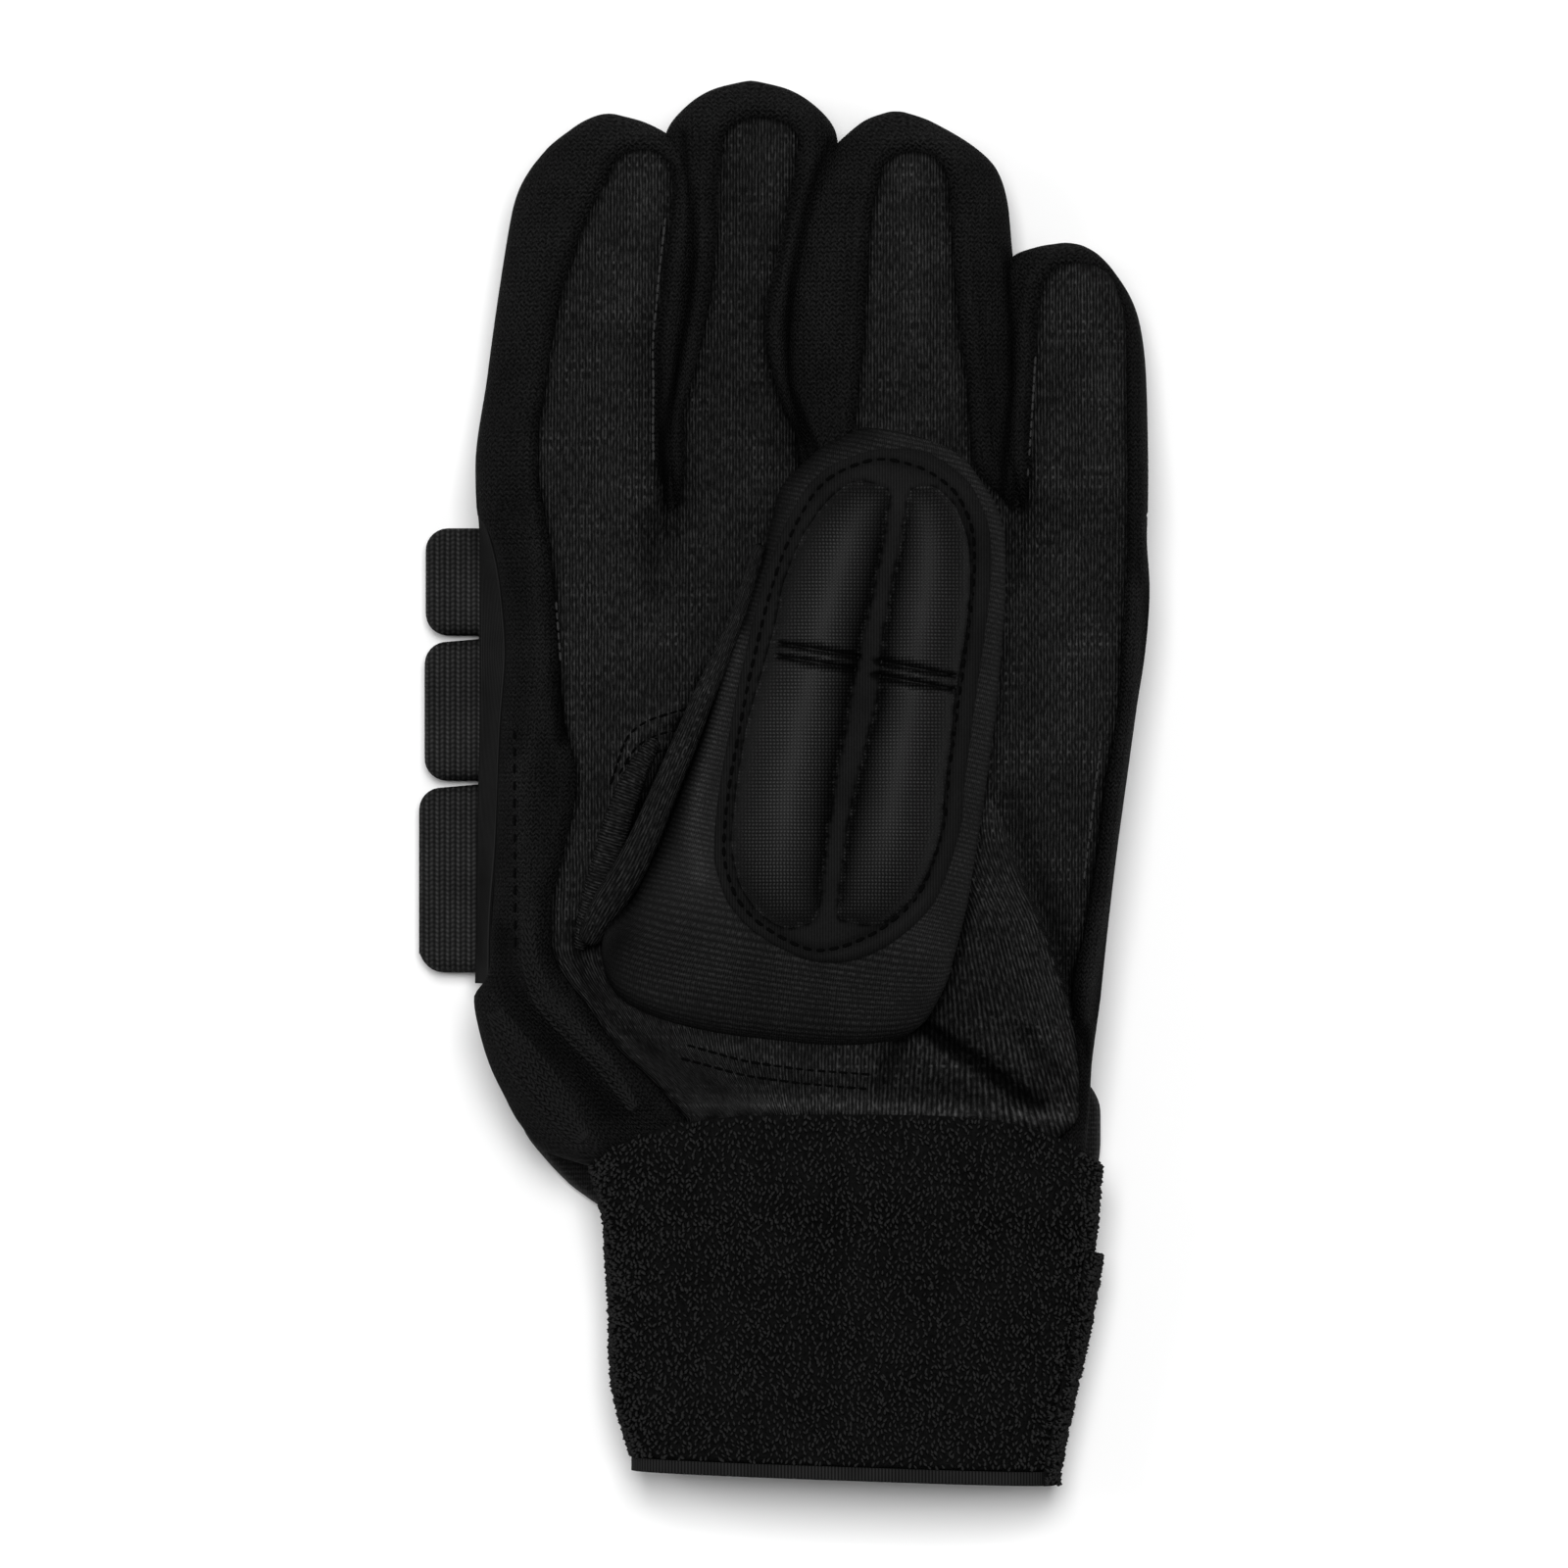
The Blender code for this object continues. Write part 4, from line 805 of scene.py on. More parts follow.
# the knitted ribbons beside the palm cloth, on its thumb side and on its other side
RIBBON = [
    (-46.5, 64.0), (-45.7, 36.2), (-45.5, 29.9), (-43.2, 22.9), (-37.4, 17.0), (-31.7, 11.2),
    (-27.1, 4.0),
]
SIDE_RIBBON = [(62.0, 96.0), (61.5, 78.0), (59.9, 63.0), (57.6, 43.8), (55.4, 33.3), (53.0, 19.3)]
KNIT_FOLDS = [
    (RIBBON, 2.2, 1.8, 1.8),
    ([(x - 4.2, y - 2.2) for x, y in RIBBON[1:]], -1.5, 2.0, 2.6),
    ([(-51.6, 22.2), (-48.1, 12.4), (-42.9, 4.4), (-35.0, -3.6)], 2.0, 3.0, 4.0),
    ([(-39.9, 83.5), (-39.7, 69.0)], -2.6, 0.9, 0.9),
    ([(-45.0, 122.0), (-44.5, 108.0), (-43.2, 84.0), (-45.0, 66.0)], 1.1, 1.6, 1.6),
    (SIDE_RIBBON, 2.2, 1.3, 1.3),
    ([(x - 3.0, y) for x, y in SIDE_RIBBON], -1.8, 1.0, 1.0),
    ([(x + 2.9, y) for x, y in SIDE_RIBBON], -2.0, 1.0, 1.0),
]


def folds(table, x, y):
    """The height that a table of folds gives each point."""
    total = np.zeros(np.size(x))
    for line, height, left_width, right_width in table:
        _, side = from_line(x, y, line)
        total += height * bell(side, np.where(side >= 0, left_width, right_width))
    return total


# %% [markdown]
# ## Heights of the cloth
#
# What lies on the hand asks these functions how high the cloth is at a place.

# %% Heights of the cloth
def soft_waves(x, y):
    """Slow unevenness of a cloth that lies loosely."""
    slow = np.sin(x / 7.3 + 1.4 * np.sin(y / 13)) * np.sin(y / 9.7 + 1.1 * np.sin(x / 11))
    return 0.28 * slow + 0.12 * np.sin(x / 3.1 + y / 8.3)


def gathers(x, y):
    """Small pleats where the palm cloth is gathered into the cuff."""
    near = step_up((9 - y) / 8) * step_up((x + 24) / 8) * step_up((22 - x) / 20)
    return 0.7 * near * np.sin((x - 0.35 * y) * 1.15)


def seam_away(x, y):
    """Distance from the palm cloth's edge."""
    return off(x, y, PALM_OUTLINE, closed=True)


def knit_relief(x, y):
    """How far the knit is lifted or pulled down, seen from above.

    It swells beside the seam's furrow, and lies well under the palm cloth.
    """
    away = seam_away(x, y)
    within = inside(np.stack([np.ravel(x), np.ravel(y)], 1), PALM_OUTLINE)
    furrow = 1.3 * bell(away, 1.0) - 0.9 * bell(away - 2.6, 1.1) * ~within
    under = 1.2 * step_up(away / 1.5) * within + 5.0 * step_up((away - 3) / 4) * within
    return folds(KNIT_FOLDS, x, y) * ~within - furrow - under


# where the hand's top turns into the fingers' tops, and how softly those join
BLEND_FROM, BLEND_LENGTH, SOFT = 92.0, 26.0, 0.5


def cloth_top(x, y):
    """The top of the hand and the fingers together, blended softly where they meet."""
    x, y = np.ravel(x), np.ravel(y)
    left, right, floor, tall = hand_at(np.minimum(y, PALM_LENGTH))
    rise = crown(x, (left + right) / 2, (right - left) / 2, tall / 2, HAND_ROUND[0])
    hand = floor_at(y) + tall / 2 + rise * (1 - knuckle_dip(x, y))
    heights = []
    for name in FINGERS:
        centre, half_width, half_depth, middle = finger_at(name, np.maximum(y, PALM_LENGTH))
        heights.append(middle + crown(x, centre, half_width, half_depth, FINGER_ROUND[0]))
    fingers = SOFT * np.log(sum(np.exp(h / SOFT) for h in heights))
    share = step_up((y - BLEND_FROM) / BLEND_LENGTH)
    return hand * (1 - share) + fingers * share


def palm_top(x, y):
    """The palm cloth's height. It is held down by its seam, and loose away from it."""
    away = seam_away(x, y)
    held = 5 - 3.7 * step_up((x - 25) / 10) * step_up((60 - y) / 15)
    relief = folds(PALM_FOLDS, x, y) + soft_waves(x, y) + gathers(x, y)
    return cloth_top(x, y) + 0.3 + relief * step_up(away / held) - 1.1 * bell(away, 0.8)


# %% [markdown]
# ## Shade of the knit and the palm
#
# Cloth in a hollow gets less light than the render's relief alone gives it, for a real fold goes
# deeper than the few millimetres here. So each point carries a painted shade that its colour is
# multiplied by, which is high in slits, seams and folds. It is below 0 as a painted highlight, on
# ridges and raised strips where more light falls.

# %% Darkness from seams, slits and folds
# painted shade in the slits where the fingers press against each other
SLITS = [
    [(-18.0, 178.0), (-16.3, 161.5), (-16.1, 155.0), (-17.2, 145.0), (-20.5, 129.0),
     (-21.5, 122.3), (-21.2, 111.0)],
    [(8.1, 176.6), (4.1, 165.7), (1.3, 152.6), (0.7, 142.0), (1.3, 132.1), (5.6, 121.5),
     (8.0, 112.0)],
    [(39.7, 156.4), (40.9, 142.0), (40.5, 130.9), (39.2, 118.4), (38.8, 110.3)],
]
# painted highlights along the palm cloth's ridges, and painted shade where how much is below 0:
# line, how much, width
PAINTED_LIGHT_LINES = [
    ([(-23.7, 172.0), (-26.2, 158.0), (-28.0, 146.0)], 0.35, 2.6),
    ([(-1.8, 174.0), (-3.6, 161.0)], 0.2, 2.6),
    ([(-7.0, 178.0), (-6.0, 130.0)], -0.17, 8.0),
    ([(22.0, 171.0), (22.9, 156.0), (23.5, 140.0)], 0.25, 2.6),
    ([(52.5, 152.0), (57.0, 137.0), (57.2, 113.0)], 0.25, 2.6),
    ([(-31.0, 128.0), (-33.0, 100.0)], 0.2, 6.0),
    ([(53.0, 95.0), (52.0, 70.0)], 0.25, 6.0),
    ([(-30.0, 98.0), (-36.0, 72.0)], 0.15, 8.0),
]
# a painted highlight along the ridge where the cuff pulls the palm cloth tight
CUFF_HIGHLIGHT = [(-16.0, 3.4), (8.0, 3.6), (30.0, 2.6), (54.0, 1.0)]
DARKEST = 0.85


def shadow_of_fold(x, y):
    """How dark it is on the little finger's side of the heel's fold, which stands over it."""
    _, fold = from_line(x, y, HEEL_FOLD)
    ends = step_up((52 - y) / 25) * step_up((y - 3) / 8)
    return 0.5 * (fold > 0) * bell(fold, 3.0) * ends


def knit_dark(x, y):
    """Painted shade of the knit in its hollows, its slits and along the palm's seam, and painted
    highlights on its ridges.
    """
    hollow = np.clip(-folds(KNIT_FOLDS, x, y) / 5.0, -0.3, 0.6)
    seam = 0.5 * bell(seam_away(x, y), 0.7)
    slit = sum(0.6 * bell(off(x, y, line), 0.8) for line in SLITS)
    side = 0.15 * step_up((152 - y) / 30)
    return np.clip(hollow + seam + slit + side + shadow_of_fold(x, y), -0.3, DARKEST)


def palm_dark(x, y):
    """Painted shade of the palm cloth in its hollows, its seam and its heel. Painted highlights lie
    on its ridges and where the cuff pulls it.
    """
    hollow = np.clip(-folds(PALM_FOLDS, x, y) / 3.2, -0.25, 0.8)
    seam = 0.5 * bell(seam_away(x, y), 0.6)
    strip = 0.9 * bell(off(x, y, CUFF_HIGHLIGHT), 1.7)
    shine = sum(much * bell(off(x, y, line), width) for line, much, width in PAINTED_LIGHT_LINES)
    _, fold = from_line(x, y, HEEL_FOLD)
    heel = 0.3 * step_up((-fold - 1.5) / 7) * step_up((50 - y) / 20) * step_up((x - 16) / 8)
    dark = hollow + seam + heel + shadow_of_fold(x, y) - strip - shine
    return np.clip(dark, -1.0, DARKEST)


# %% [markdown]
# ## Knitted tubes
#
# The hand is one tube, open at the wrist and at the fingers, and each finger is a tube that is
# closed at its tip. All have two faces 2 mm apart, as knit over a thin lining. Where fingers
# press against each other their tubes are widened, so that no daylight shows in the slits.

# %% Knitted hand and fingers
def ring_grid(y, centre, half_width, half_height, middle, squareness, columns):
    """Grid of sections along Y, and its cloth: across from the top's middle, and along."""
    rings, across = [], []
    for values in zip(y, centre, half_width, half_height, middle):
        at, c, w, h, m = values
        x, z, u = section(max(w, 0.01), max(h, 0.01), squareness, columns)
        rings.append(np.stack([x + c, np.full(columns, at), z + m], 1))
        across.append(u)
    return np.array(rings), np.array(across)


def upper_share(grid, middle):
    """X and Y of a grid's points, and how much each belongs to its upper half."""
    x, y, z = grid.reshape(-1, 3).T
    return x, y, z, step_up((z - np.repeat(middle, grid.shape[1])) / 4)


def sculpt_top(grid, middle, below):
    """The same grid with its upper half shaped by the seams and the folds.

    Where the fingers leave the hand, both take the height that blends them.
    """
    x, y, z, upper = upper_share(grid, middle)
    joined = step_up((PALM_LENGTH + 10 - y) / 8)
    z = z + upper * (knit_relief(x, y) + joined * (cloth_top(x, y) - below - z))
    return np.stack([x, y, z], 1).reshape(grid.shape)


def top_dark(grid, middle):
    x, y, _, upper = upper_share(grid, middle)
    return (knit_dark(x, y) * upper).reshape(grid.shape[:2])


y = np.linspace(-8, PALM_LENGTH + 2, 120 // COARSE)
left, right, floor, tall = hand_at(np.minimum(y, PALM_LENGTH))
narrower = 1.6 * step_up((y - PALM_LENGTH + 1) / 3)
left, right = left + narrower, right - narrower
floor, tall = floor + narrower, tall - 2 * narrower
middle = floor + tall / 2
grids = []
for wall in (0, KNIT_WALL):
    half_width, half_height = (right - left) / 2 - wall, tall / 2 - wall
    grid, across = ring_grid(
        y, (left + right) / 2, half_width, half_height, middle, HAND_ROUND, 260 // COARSE
    )
    # the lining keeps clear of the folds
    grids.append(sculpt_top(grid, middle, 1.6 * wall))
around = np.linspace(-130, 130, across.shape[1])[None, :]
dark = top_dark(grids[0], middle)
cloth = (around, y[:, None])
shell("knit_hand", *grids, cloth, True, jersey, "jersey_knit", ["hand_knit"], dark=dark)

for name, (length, width, root) in FINGERS.items():
    rows = TUBE_SECTIONS[name]
    share, shift, wide, deep = by_row(rows + [(1.004, rows[-1][1], 0, 0)], 100 // COARSE).T
    grids = []
    for wall in (0, KNIT_WALL):
        y = PALM_LENGTH - 5 + (length + 5 - wall) * share
        middle = floor_at(y) + FINGER_DEPTH / 2
        tucked = 2.6 * step_up((PALM_LENGTH - y) / 5)
        pressed = step_up((0.98 - share) / 0.12) * step_up((share - 0.02) / 0.1)
        toward_left, toward_right = (side * pressed for side in FINGER_SPREAD[name])
        centre = root + width / 2 * shift + (toward_right - toward_left) / 2
        spread = (toward_left + toward_right) / 2
        half_width = np.clip(width / 2 * wide - wall - tucked + spread, 0, None)
        half_depth = np.clip(FINGER_DEPTH / 2 * deep - wall - tucked, 0, None)
        grid, across = ring_grid(
            y, centre, half_width, half_depth, middle, FINGER_ROUND, 130 // COARSE
        )
        grids.append(sculpt_top(grid, middle, 1.2 * wall))
    dark = top_dark(grids[0], middle)
    cloth, node = (across, y[:, None]), "finger_knit_" + name
    shell("knit_" + name, *grids, cloth, True, jersey, "jersey_knit", [node], True, dark)

# %% [markdown]
# ## Palm panel
#
# The palm cloth is one sheet, stretched over the knit and sewn down along its edge. It is made
# as heights over its outline, 1.2 mm thick. The lines of its weave follow the cut of the cloth,
# so they lean towards the fold on the heel and follow the border beside the thumb.

# %% Palm panel
def palm_lie(x, y):
    """Where a point is on the flat cloth. Ribs follow the border and the fold on the heel."""
    _, fold = from_line(x, y, HEEL_FOLD)
    beside = bell(np.minimum(fold, 0), 26) * (fold < 0) * step_up((60 - y) / 25)
    border = HALF_PALM * smooth(PALM_SEAMS, np.clip(y, 0, 50) / PALM_LENGTH)[:, 0]
    near = bell(x - border, 11) * step_up((50 - y) / 20)
    return x + 0.3 * (y - 58) * beside - (border + 41.5) * near, y


PALM_THICKNESS, PALM_SPACING = 1.2, 0.8 * COARSE
palm = sheet(
    "palm_cloth",
    PALM_OUTLINE,
    palm_top,
    lambda x, y: palm_top(x, y) - PALM_THICKNESS,
    PALM_SPACING,
    palm_weave,
    ["palm_panel"],
    lie=palm_lie,
    dark=palm_dark,
)

# %% [markdown]
# ## Thumb
#
# The thumb comes up out of the palm, bends forwards and lies over the palm. Its back, which is
# seen from above, is a stretch weave with ribs across it. Its other side and its edge are palm
# cloth. Where the two meet, the seam makes a long roll on the thumb's left side.

# %% Thumb
THUMB_REACH, THUMB_WIDTH, THUMB_DEPTH, THUMB_HEIGHT, THUMB_LEAN = 101.0, 64.0, 18.5, 39.3, 23.5
THUMB_BASE, THUMB_WALL, THUMB_ROUND = (-3, 23), 1.8, (2.4, 2.7)
# forwards, leaning, height, width, depth, all as shares, and how far its sides turn in degrees
THUMB_SECTIONS = [
    (0.0, 0.0, 0.63, 0.84, 0.84, 7), (0.0, 0.0, 0.69, 0.85, 0.84, 7),
    (0.003, 0.0, 0.76, 0.87, 0.84, 7), (0.03, 0.01, 0.89, 0.93, 0.86, 8),
    (0.11, 0.05, 0.992, 1.0, 0.94, 10), (0.18, 0.14, 1.003, 0.99, 1.0, 12),
    (0.27, 0.28, 1.003, 0.95, 1.0, 14), (0.446, 0.464, 1.0, 0.9, 1.0, 14),
    (0.594, 0.655, 0.998, 0.82, 0.98, 14), (0.772, 0.843, 0.994, 0.72, 0.94, 13),
    (0.881, 0.936, 0.99, 0.63, 0.86, 12), (0.946, 0.979, 0.985, 0.47, 0.66, 12),
    (0.985, 1.0, 0.98, 0.3, 0.38, 12), (1.0, 1.0, 0.978, 0.0, 0.0, 12),
]
forward, lean, lift, wide, deep, turn = by_row(THUMB_SECTIONS, 150 // COARSE).T
thumb_x, thumb_y = THUMB_BASE[0] + THUMB_LEAN * lean, THUMB_BASE[1] + THUMB_REACH * forward
thumb_line = np.stack([thumb_x, thumb_y, THUMB_HEIGHT * lift], 1)
turn = np.radians(turn)
thumb_side = np.stack([np.cos(turn), -np.sin(turn), 0 * turn], 1)
ahead = np.gradient(thumb_line, axis=0)
ahead -= thumb_side * (ahead * thumb_side).sum(1)[:, None]
thumb_up = np.cross(thumb_side, unit(ahead))
thumb_along = along_line(thumb_line)

# the left edge of the thumb's weave, from its base to its tip
THUMB_LEFT = [
    (-33.0, 26.0), (-31.2, 32.0), (-27.8, 38.0), (-21.5, 51.1), (-13.7, 71.1), (-6.3, 94.2),
    (-4.0, 101.0), (-0.5, 114.3), (6.6, 121.1), (14.0, 124.5),
]
# where the pad's flange pulls the weave up, and a painted highlight makes its ribs show as a bright
# ladder
LADDER = [(-7.8, 87.0), (-12.0, 71.0), (-15.0, 60.0), (-16.1, 52.9), (-15.0, 45.0)]

# %% [markdown]
# ## Form of the thumb
#
# Seen from above, the thumb's left edge has its own line, and every section is narrowed on its
# left side to end there.

# %% Form of the thumb
def left_reach():
    """How far left each of the thumb's sections reaches, as a share of its half width."""
    found = []
    t = np.linspace(3, 36, 166)
    for k in range(len(thumb_line)):
        half = THUMB_WIDTH / 2 * wide[k]
        points = thumb_line[k, :2] - t[:, None] * thumb_side[k, :2]
        beyond = from_line(*points.T, THUMB_LEFT)[1] > 0
        reach = t[beyond][0] if beyond.any() and half > 3 else half
        settled = step_up((forward[k] - 0.02) / 0.12)
        found.append(1 + (min(reach / max(half, 1e-3), 1) - 1) * settled)
    return np.convolve(np.pad(found, 2, "edge"), np.ones(5) / 5, "valid")


LEFT_SHARE = left_reach()


def thumb_dark(grid):
    """Painted shade on the thumb's weave beside the roll and at its base, and a painted highlight
    where the flange pulls it up.
    """
    x, y, _ = grid.reshape(-1, 3).T
    ladder_highlight = bell(off(x, y, LADDER), 1.4)
    dark = 0.65 * bell(off(x, y, THUMB_LEFT), 3.2) * (1 - ladder_highlight) - 0.8 * ladder_highlight
    # painted shade on the left of the thumb's base
    dark += 0.35 * step_up((44 - y) / 12) * bell(x + 30, 9)
    return dark.reshape(grid.shape[:2])


def thumb_grid(start, sweep, wall, columns):
    """Grid over part of the thumb's skin, and how far across the cloth each point is."""
    grid, across = [], []
    for k in range(len(thumb_line)):
        half_width = max(THUMB_WIDTH / 2 * wide[k] - wall, 0.01)
        half_depth = max(THUMB_DEPTH / 2 * deep[k] - wall, 0.01)
        x, z, u = section(half_width, half_depth, THUMB_ROUND, columns, start, sweep)
        x = np.where(x < 0, x * LEFT_SHARE[k], x)
        grid.append(thumb_line[k] + x[:, None] * thumb_side[k] + z[:, None] * thumb_up[k])
        across.append(u)
    return np.array(grid), np.array(across)


def thumb_part(name, start, sweep, material, slot, node, dark=None):
    """One cloth of the thumb, over a part of its way around, with its two faces."""
    faces = [thumb_grid(start, sweep, wall, 120 // COARSE) for wall in (0, THUMB_WALL)]
    (outer, across), (inner, _) = faces
    shade = dark(outer) if dark else None
    cloth = (across, thumb_along[:, None])
    return shell(name, outer, inner, cloth, False, material, slot, [node], dark=shade)


# degrees around the thumb, from its right side over its top
BACK_FROM, BACK_SWEEP = -28, 213
thumb = thumb_part(
    "thumb_weave", BACK_FROM, BACK_SWEEP, stretch_weave, "stretch_weave", "thumb_back", thumb_dark
)
lining_from, lining_sweep = BACK_FROM + BACK_SWEEP, 360 - BACK_SWEEP
thumb_part("thumb_lining", lining_from, lining_sweep, palm_weave, "palm_fabric", "thumb_front")

# %% [markdown]
# ## Roll and gusset of the thumb
#
# Where the thumb's two cloths meet, the spare cloth of the seam rolls over and lies along the
# thumb's left side. Below it a shorter roll is the gusset, whose ribs run the other way. Both
# are made as round rolls of a changing width, with an inner face that makes them hollow.

# %% Rolls along the thumb's left side
def roll(name, line, radius, material, slot, crosswise=False):
    """A soft round roll along a line of (x, y, z, radius share)."""
    path = even_line(line, 0.7 * COARSE, soften=3.0)
    ahead = unit(np.gradient(path[:, :3], axis=0))
    side = unit(np.cross(ahead, (0, 0, 1)))
    up = np.cross(side, ahead)
    along = np.arange(len(path)) * 0.7 * COARSE
    size = radius * path[:, 3]
    size[[0, -1]] = 0.001
    turn = np.linspace(0, 2 * math.pi, 28 // COARSE + 1)
    ring = side[:, None] * np.cos(turn)[None, :, None] + up[:, None] * np.sin(turn)[None, :, None]
    outer, inner = (path[:, None, :3] + ring * size[:, None, None] * share for share in (1, 0.4))
    around = np.broadcast_to(turn * radius, (len(path), len(turn)))
    length = np.broadcast_to(along[:, None], around.shape)
    cloth = (length, around) if crosswise else (around, length)
    return shell(name, outer, inner, cloth, True, material, slot)


roll(
    "thumb_roll",
    [
        (-34.8, 33.5, 32.0, 0.8), (-31.6, 39.5, 37.5, 1.2), (-27.9, 45.0, 39.6, 1.2),
        (-24.3, 52.5, 40.6, 1.05), (-20.8, 61.0, 41.0, 0.95), (-17.4, 69.0, 41.2, 0.9),
        (-14.6, 76.0, 41.2, 0.8), (-11.0, 84.0, 41.2, 0.7), (-7.4, 93.0, 41.2, 0.55),
        (-4.2, 104.0, 41.0, 0.45),
    ],
    2.5,
    palm_weave,
    "palm_fabric",
)
roll(
    "thumb_gusset",
    [
        (-22.6, 69.5, 31.6, 0.4), (-26.4, 63.5, 32.9, 0.9), (-28.9, 57.0, 33.2, 1.0),
        (-30.9, 50.2, 33.0, 1.05), (-33.1, 43.0, 32.6, 1.0), (-35.4, 36.0, 31.2, 0.8),
        (-36.6, 31.5, 30.0, 0.4),
    ],
    2.4,
    palm_weave,
    "palm_fabric",
    crosswise=True,
)

# %% [markdown]
# ## Thumb pad
#
# The pad is foam in cloth, moulded under heat into four puffy cells with grooves between them,
# and sewn to the thumb through a flat flange. A mould gives it its form, so it is made here as
# heights over its outline and not by inflating cloth.

# %% Thumb pad
PAD_SIDE, PAD_UP, PAD_LENGTH, HALF_PAD = 11.9, 75.2, 90.5, 24.95
# up from the pad's middle as a share of its length, left and right as shares of half its width
PAD_SEAM = [
    (-0.469, -0.246, -0.028), (-0.446, -0.442, 0.168), (-0.411, -0.646, 0.344),
    (-0.368, -0.779, 0.491), (-0.299, -0.856, 0.589), (-0.225, -0.842, 0.667),
    (-0.15, -0.807, 0.681), (0.038, -0.681, 0.772), (0.187, -0.554, 0.849),
    (0.276, -0.456, 0.877), (0.345, -0.351, 0.863), (0.413, -0.211, 0.758),
    (0.444, -0.07, 0.625), (0.469, 0.189, 0.47),
]
PAD_CELLS = {
    "upper left": [
        (0.127, -0.463, 0.084), (0.156, -0.484, 0.119), (0.233, -0.435, 0.182),
        (0.32, -0.309, 0.246), (0.388, -0.14, 0.281), (0.426, 0.028, 0.302),
    ],
    "upper right": [
        (0.094, 0.225, 0.744), (0.136, 0.204, 0.786), (0.233, 0.267, 0.821), (0.32, 0.33, 0.807),
        (0.388, 0.372, 0.716), (0.426, 0.393, 0.575),
    ],
    "lower left": [
        (-0.425, -0.456, -0.225), (-0.396, -0.618, -0.211), (-0.347, -0.744, -0.189),
        (-0.27, -0.8, -0.154), (-0.154, -0.758, -0.098), (-0.038, -0.688, -0.014),
        (0.04, -0.604, 0.028), (0.082, -0.519, -0.014),
    ],
    "lower right": [
        (-0.425, -0.126, 0.196), (-0.386, -0.112, 0.379), (-0.328, -0.091, 0.519),
        (-0.25, -0.056, 0.61), (-0.154, 0.014, 0.64), (-0.076, 0.084, 0.681),
        (0.011, 0.168, 0.702), (0.051, 0.225, 0.646),
    ],
}
# two grooves with a ridge between them across the left column of cells, and across the right one
PAD_GROOVES = [
    [(-0.6, 86.0), (13.2, 83.7)],
    [(-0.9, 83.8), (12.6, 81.5)],
    [(16.4, 82.9), (29.9, 80.4)],
    [(15.9, 80.5), (29.8, 78.0)],
]
FLANGE_THICKNESS, FLANGE_REACH, CELL_HEIGHT, GROOVE_DEPTH = 1.5, 3.0, 5.6, 2.4

# %% [markdown]
# ## Outlines of the pad
#
# The tables above become smooth closed lines: the seam, the flange's edge outside it, and one
# line around each column of cells.

# %% Outlines of the pad
def pad_line(rows):
    """An anticlockwise outline from the pad's rows."""
    up, left, right = np.array(rows).T
    y = PAD_UP + PAD_LENGTH * up
    rights = np.stack([PAD_SIDE + HALF_PAD * right, y], 1)
    lefts = np.stack([PAD_SIDE + HALF_PAD * left, y], 1)
    return even_line(np.concatenate([rights, lefts[::-1]]), 0.7 * COARSE, True, soften=1.3)


def right_share(rows, line):
    """How far each point is on the right side of an outline's rows, from 0 to 1, softly."""
    left, right = smooth(rows, (line[:, 1] - PAD_UP) / PAD_LENGTH).T
    return step_up(0.5 + (line[:, 0] - PAD_SIDE - HALF_PAD * (left + right) / 2) / 8)[:, None]


pad_seam = pad_line(PAD_SEAM)
PAD_EDGE = grown(pad_seam, FLANGE_REACH)
PAD_STITCH_LINE = grown(pad_seam, 1.3 * (1 - right_share(PAD_SEAM, pad_seam)))
# each column's cells reach out to the seam, and stay 0.5 mm back from the strip between them
cell_lines = []
for side, reach in (("left", 1.3), ("right", 0.6)):
    rows = PAD_CELLS["lower " + side][:-1] + PAD_CELLS["upper " + side][1:]
    line = pad_line(rows)
    inner = right_share(rows, line) if side == "left" else 1 - right_share(rows, line)
    cell_lines.append(grown(line, reach - (reach + 0.5) * inner))


# %% [markdown]
# ## Heights of the pad
#
# A cell is puffed up like a skin over air that is held down along its outline. The pad lies on
# the thumb, so its heights start from the thumb's own.

# %% Heights of the pad
def domes(outlines, step=0.5):
    """Heights of skins blown up over outlines: each point is a bit above its neighbours' mean."""
    low, high = PAD_EDGE.min(0), PAD_EDGE.max(0)
    columns, rows = np.arange(low[0], high[0], step), np.arange(low[1], high[1], step)
    x, y = np.meshgrid(columns, rows)
    places = np.stack([x.ravel(), y.ravel()], 1)
    filled = np.any([inside(places, line) for line in outlines], 0).reshape(x.shape)
    skin = np.zeros(x.shape)
    for _ in range(1600):
        around = [np.roll(skin, by, axis) for axis in (0, 1) for by in (1, -1)]
        skin = np.where(filled, sum(around) / 4 + 1, 0)
    return low, step, (skin / skin.max()) ** 0.8


def on_grid(grid, x, y):
    """The grid's height at any points, between its own."""
    low, step, values = grid
    i, j = (np.ravel(y) - low[1]) / step, (np.ravel(x) - low[0]) / step
    r = np.clip(i.astype(int), 0, values.shape[0] - 2)
    c = np.clip(j.astype(int), 0, values.shape[1] - 2)
    a, b = np.clip(i - r, 0, 1), np.clip(j - c, 0, 1)
    near, far = (values[k, c] * (1 - b) + values[k, c + 1] * b for k in (r, r + 1))
    return near * (1 - a) + far * a


PUFFED = domes(cell_lines)
depsgraph = bpy.context.evaluated_depsgraph_get()
thumb_tree = BVHTree.FromObject(thumb, depsgraph)


def thumb_top(x, y, missing=39.0):
    """The thumb's height under each point, in millimetres."""
    found = []
    for a, b in zip(np.ravel(x) * MM, (np.ravel(y) - MIDDLE_UP) * MM):
        hit = thumb_tree.ray_cast(Vector((a, b, 1)), Vector((0, 0, -1)))[0]
        found.append(missing if hit is None else hit.z / MM)
    return np.array(found)


def groove_share(x, y):
    """1 in the grooves across the cells. They have a flat bottom and steep sides."""
    return sum(np.exp(-((off(x, y, line) / 0.55) ** 4)) for line in PAD_GROOVES)


